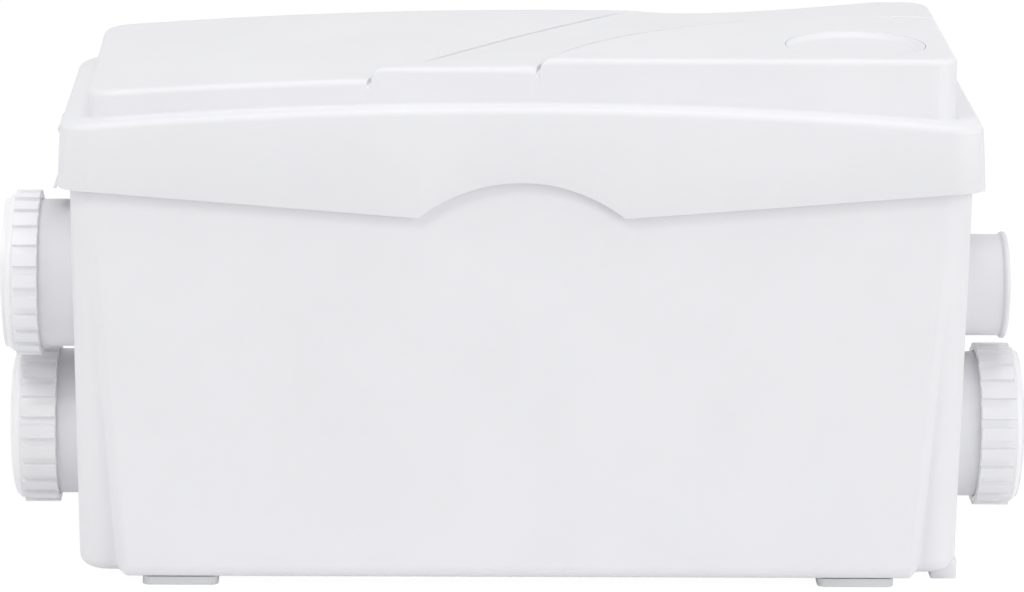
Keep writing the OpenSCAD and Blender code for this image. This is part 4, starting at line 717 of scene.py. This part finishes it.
# %% [markdown]
# ## The tank: what stands on its walls
# Outside, a bead on each end is what the clip hooks under. Inside, pairs of ears hold the inlet flaps, and
# one foot lug is part of the moulding. The ledges that carry the gasket and the motor deck are in the CAD
# model alone.
# %% Tank beads, ears and lug
for side in (-1, 1):
    add_block(tank, (171.3, -24, 158.2), (173.4, 24, 160.2), radius=0.5, side=side)
for side, y, z in INLETS:
    for ear_y in (y - 8.3, y + 8.3):
        add_block(tank, (160.6, ear_y - 2, z + 23.5), (171.0, ear_y + 2, z + 29.5), radius=0.6, side=side)
add_block(tank, (161.3, -50.8, 0), (171.6, -34.8, 8), radius=0.8)
tank_piece = finish_piece("tank_moulding", tank, white_abs, "tank", "white_shell", "tank_body", crease=40)
print(tank_piece.name, "made")

# %% [markdown]
# ## Fittings on the side walls
# Necks, nuts, the blanking cap and the outlet are round, so each is a profile turned round the Z axis and
# then laid on its wall. The nuts and the cap have 24 grip ribs. A rib isn't added: the turned wall has
# enough points for its radius to be lifted by a function of the angle, as a mould's cavity would be cut.
# %% Helpers for fittings
def on_wall(bm, side, y, z):
    """Lays a shape that was turned round Z on the left or right wall, pointing out."""
    bmesh.ops.rotate(bm, verts=bm.verts, cent=(0, 0, 0), matrix=Matrix.Rotation(radians(90 * side), 3, "Y"))
    bmesh.ops.translate(bm, verts=bm.verts, vec=(side * TANK_X, y, z))
    bmesh.ops.recalc_face_normals(bm, faces=bm.faces)


def quarter(cx, cz, rx, rz, start, end, steps):
    """Points on an ellipse from one angle to another, in degrees, for a profile."""
    angles = [radians(lerp(start, end, i / steps)) for i in range(steps + 1)]
    return [(cx + rx * cos(a), cz + rz * sin(a)) for a in angles]


# The union nuts and the blanking cap share these: the radii of the grip wall and of the bore, and the ribs
BODY_R, BORE_R = 31.1, 29.3
RIB_N, RIB_HIGH, RIB_START, RIB_END = 24, 1.5, 0.2, 0.77
# One pitch of the ribs, as shares: the points crowd where a rib's flanks are
RIB_MARKS = (0, 0.09, 0.175, 0.205, 0.28, 0.36, 0.44, 0.52, 0.60, 0.68, 0.76, 0.79, 0.88)


def grip_wall(low, rings, dome_r, end, last):
    """The outside of a fitting: up the grip wall with a point at each ring, then over its dome."""
    shoulder = low + rings[-1] + 0.5
    return [(BORE_R, low + 0.3), (BORE_R + 0.3, low), (BODY_R - 0.3, low), (BODY_R, low + 0.3),
            *((BODY_R, low + ring) for ring in rings), (BODY_R - 0.14, shoulder - 0.2),
            *quarter(dome_r, shoulder, BODY_R - dome_r, end - shoulder, 2, last, 12)]


def ribbed(bm, low, high):
    """Lifts 24 pads on a turned grip wall between two heights."""
    n = len(RIB_MARKS)
    for v in bm.verts:
        r, angle = hypot(v.co.x, v.co.y), atan2(v.co.y, v.co.x) % (2 * pi)
        if r < BODY_R - 0.9:
            continue
        step = round(angle / (2 * pi) * RIB_N * n)
        pitch, mark = divmod(step % (RIB_N * n), n)
        angle = (pitch + RIB_MARKS[mark]) * 2 * pi / RIB_N
        on_pad = RIB_START < RIB_MARKS[mark] < RIB_END
        if on_pad and low - 0.01 < v.co.z < high + 0.01 and r > BODY_R - 0.15:
            r += RIB_HIGH
        v.co.x, v.co.y = r * cos(angle), r * sin(angle)


rib_width = 2 * pi * (BODY_R + RIB_HIGH) / RIB_N * (RIB_END - RIB_START)
print("a rib is", round(rib_width, 1), "mm wide")

# %% [markdown]
# ## Inlet necks
# Each neck is a threaded sleeve that is welded into the wall. Inside it narrows to the seat of the flap, and
# its mouth is a cone for the rubber seal. The thread is a ridge that climbs as it turns.
# %% Necks
# The thread's pitch, and the steps in one of its turns
PITCH, THREAD_STEPS = 3.2, 72
# Each neck's place, its length and how much of it is plain
NECKS = {
    "upper_left_neck": (UPPER_LEFT, 25.9, 15.4),
    "lower_left_neck": (LOWER_LEFT, 23.7, 10.8),
    "lower_right_neck": (LOWER_RIGHT, 25.4, 12.4),
}
for name, (place, length, plain) in NECKS.items():
    neck = bmesh.new()
    spin_profile(neck, [(17.5, -5.7), (17.8, -6), (24, -6), (24, 0.01), (28.6, 0.01), (29, 0.4), (29, plain),
                        (28.2, plain + 0.6), (28.2, length - 0.5), (27.7, length), (27, length),
                        (20.3, length - 9), (20.3, 1), (17.5, 1)], 120)
    section = ((27.9, plain + 1.6), (29, plain + 2.2), (29, plain + 2.6), (27.9, plain + 3.2))
    ridge = [neck.verts.new((r, 0, h)) for r, h in section]
    crest = neck.faces.new(ridge)
    turns = int((length - plain - 4.2) / PITCH)
    bmesh.ops.spin(neck, geom=[crest, *ridge, *crest.edges], cent=(0, 0, 0), axis=(0, 0, 1),
                   angle=2 * pi * turns, steps=THREAD_STEPS * turns, dvec=(0, 0, PITCH / THREAD_STEPS))
    on_wall(neck, *place)
    piece = finish_piece(name + "_threaded", neck, white_abs, "tank", "white_shell", name)
    print(piece.name, "with", turns, "turns of thread")

# %% [markdown]
# ## Union nuts and the blanking cap
# A union nut squeezes the cone seal round the pipe. Its end is a broad dome that rolls into the opening, and
# the blanking cap has the same dome over a closed end.
# %% Nuts and blanking cap
# Heights of the rings of points above the mouth; the last is where the ribs end
NUT_RINGS, CAP_RINGS = (1.2, 5, 9.5, 13.7), (1.2, 5, 9.7)
# Each nut's place, and how far out its mouth, its inner seat and its end are
NUTS = {
    "lower_left_nut": (LOWER_LEFT, 9.5, 26.5, 28.3),
    "lower_right_nut": (LOWER_RIGHT, 11.2, 28.2, 29.3),
}
for name, (place, low, seat_z, end) in NUTS.items():
    nut = bmesh.new()
    mouth = [(21.2, end - 0.35), (21, end - 0.7), (21, seat_z), (BORE_R, seat_z)]
    spin_profile(nut, grip_wall(low, NUT_RINGS, 20.6, end, 84) + mouth, RIB_N * len(RIB_MARKS))
    ribbed(nut, low + 0.25, low + NUT_RINGS[-1] + 0.05)
    on_wall(nut, *place)
    piece = finish_piece(name + "_ribbed", nut, polypropylene_painted_light, name, "white_fitting", name, crease=38)
    print(piece.name, "ends at", round(TANK_X + end, 1))

blank = bmesh.new()
low, seat_z, end = 14.2, 28.2, 29.3
blank_profile = [(0, seat_z), (BORE_R, seat_z), *grip_wall(low, CAP_RINGS, 19.3, end, 90),
                 (12, end), (6, end), (0, end)]
spin_profile(blank, blank_profile, RIB_N * len(RIB_MARKS), closed=False)
ribbed(blank, low + 0.25, low + CAP_RINGS[-1] + 0.05)
on_wall(blank, *UPPER_LEFT)
blank_piece = finish_piece("upper_left_cap_ribbed", blank, polypropylene_painted_light, "upper_left_cap",
                           "white_fitting", "upper_left_cap", crease=38)
print(blank_piece.name, "ends at", round(TANK_X + end, 1))

# %% [markdown]
# ## Outlet stub
# The outlet is a plain 40 mm tube with a rolled bead at its end, over which a hose is pushed.
# %% Outlet stub
stub = bmesh.new()
spin_profile(stub, [(17.55, -8.8), (26, -8.8), (26, -5.5), (20.15, -5.5), (20.15, 18.7),
                    *quarter(20.25, 20.15, 1.0, 1.25, -80, 80, 8),
                    (19.2, 21.4), (18.4, 21.25), (17.8, 20.9), (17.55, 20.3)], 120)
on_wall(stub, *OUTLET)
stub_piece = finish_piece("discharge_stub_beaded", stub, white_abs, "tank", "white_shell", "discharge_stub")
print(stub_piece.name, "ends at", round(max(v.co.x for v in stub_piece.data.vertices) * 1000, 1))

# %% [markdown]
# ## Everything that stays as the CAD made it
# The pump, the motor, the switch and the seals already have their shapes. Each gets the finish of what it
# is made of. A bevel modifier rounds its sharp edges a little, because no real edge is perfectly sharp and
# the light on a rounded edge is what makes it look solid. The CAD meshes are loose triangles, so a weld
# comes before the bevel.
# %% Finish the CAD nodes
FINISHES = (
    (epdm_rubber, "rim_gasket deck_gasket discharge_grommet deck_grommet upper_left_seal "
                  "lower_left_cone_seal lower_right_cone_seal upper_left_flap lower_left_flap "
                  "lower_right_flap check_flap diaphragm riser_sleeve"),
    (foot_elastomer, "feet_pads"),
    (activated_carbon, "carbon_filter"),
    (polypropylene_painted_light, "left_clip right_clip"),
    (white_abs, "check_valve_body cable_gland gland_nut"),
    (grey_nylon, "lower_left_slip_ring lower_right_slip_ring terminal_block motor_deck riser_pipe"),
    (black_nylon, "volute_casing volute_base impeller shaft_seal pressure_bell diaphragm_housing microswitch "
                  "capacitor_saddle"),
    (red_nylon, "switch_plunger"),
    (stainless_steel, "clip_pins flap_pins check_flap_pin sleeve_clamps deck_screws motor_screws "
                      "volute_screws pump_shaft bearings impeller_nut"),
    (stamped_core_steel, "stator_core rotor_core"),
    (enamelled_copper, "stator_windings"),
    (cast_aluminium, "motor_housing motor_cover capacitor"),
)
# These keep the edges that the CAD gave them
NOT_ROUNDED = {"stator_windings", "riser_pipe", "carbon_filter", "impeller"}
finish_of = {name: material for material, names in FINISHES for name in names.split()}
replaced = {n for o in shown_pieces() for n in o.get("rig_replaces", [])}
for name, material in finish_of.items():
    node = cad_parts[name]
    node.data.materials.clear()
    node.data.materials.append(material)
    if name in NOT_ROUNDED:
        continue
    weld = node.modifiers.new("weld", "WELD")
    weld.merge_threshold = 1e-6
    round_off = node.modifiers.new("rounded_edges", "BEVEL")
    round_off.width = 0.4 * MM
    round_off.segments = 2
    round_off.limit_method = "ANGLE"
    round_off.angle_limit = radians(50)
missing = sorted(set(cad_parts) - set(finish_of) - replaced)
print("finished", len(finish_of), "CAD nodes; without a finish:", missing)

# %% [markdown]
# ## Floor, backdrop and light
# The photograph is a cut-out on white. The floor and the world look white to the camera, while what they give
# to the object is a plain, soft light. The floor keeps a little of its real shading, so the object still
# stands in a faint shadow. A soft lamp above and left of the camera models the front, a weaker, larger one
# fills the right, two low ones reach the fittings from the sides, and one straight above lights the lid.
# %% Floor and light
# The share of the floor that only glows for the camera, the glow's strength, and the world's light
GLOW_SHARE, GLOW, WORLD_LIGHT = 0.93, 1.04, 0.47


def seen_directly(tree):
    """A value of 1 for what the camera sees straight, in a reflection or through glass, and else 0."""
    seen = add_node(tree, "LightPath", {})
    straight = add_node(tree, "Math", {0: seen.outputs["Is Camera Ray"], 1: seen.outputs["Is Glossy Ray"]},
                        operation="MAXIMUM")
    direct = add_node(tree, "Math", {0: straight.outputs[0], 1: seen.outputs["Is Transmission Ray"]},
                      operation="MAXIMUM")
    return direct.outputs[0]


floor_mesh = bmesh.new()
bmesh.ops.create_grid(floor_mesh, x_segments=4, y_segments=4, size=4)
floor_data = bpy.data.meshes.new("studio_floor")
floor_mesh.to_mesh(floor_data)
floor_mesh.free()
studio_floor = bpy.data.objects.new("studio_floor", floor_data)
scene.collection.objects.link(studio_floor)
floor_paint = bpy.data.materials.new("studio_floor_paint")
floor_paint.use_nodes = True
tree = floor_paint.node_tree
shader = tree.nodes["Principled BSDF"]
shader.inputs["Base Color"].default_value = paint("#F6F6F6")
shader.inputs["Roughness"].default_value = 0.9
shader.inputs["Specular IOR Level"].default_value = 0.1
share = add_node(tree, "Math", {0: seen_directly(tree), 1: GLOW_SHARE}, operation="MULTIPLY")
glow = add_node(tree, "Emission", {"Color": (1, 1, 1, 1), "Strength": GLOW})
mixed = add_node(tree, "MixShader", {0: share.outputs[0], 1: shader.outputs[0], 2: glow.outputs[0]})
tree.links.new(mixed.outputs[0], tree.nodes["Material Output"].inputs["Surface"])
floor_data.materials.append(floor_paint)

world = bpy.data.worlds.new("studio")
scene.world = world
world.use_nodes = True
sky = world.node_tree
level = add_node(sky, "MapRange", {"Value": seen_directly(sky), "To Min": WORLD_LIGHT, "To Max": 1.0})
sky.links.new(level.outputs[0], sky.nodes["Background"].inputs["Strength"])
sky.nodes["Background"].inputs["Color"].default_value = (1, 1, 1, 1)


def add_lamp(name, place, target, size, watts):
    """A square soft lamp that looks at a point."""
    data = bpy.data.lights.new(name, "AREA")
    data.size = size
    data.energy = watts
    lamp = bpy.data.objects.new(name, data)
    scene.collection.objects.link(lamp)
    lamp.location = place
    lamp.rotation_euler = (Vector(target) - Vector(place)).to_track_quat("-Z", "Y").to_euler()


add_lamp("key", (-0.8, -1.2, 1.9), (0, 0, 0.1), size=0.6, watts=10.2)
add_lamp("fill", (1.4, -1.3, 0.7), (0, 0, 0.1), size=1.4, watts=8)
add_lamp("left", (-1.6, -0.5, 0.6), (-0.1, 0, 0.1), size=1.2, watts=5.5)
add_lamp("right", (1.6, -0.5, 0.6), (0.1, 0, 0.1), size=1.2, watts=4.4)
add_lamp("top", (0.2, -0.1, 1.9), (0, 0, 0.15), size=0.9, watts=7.9)
scene.view_settings.view_transform = "Standard"
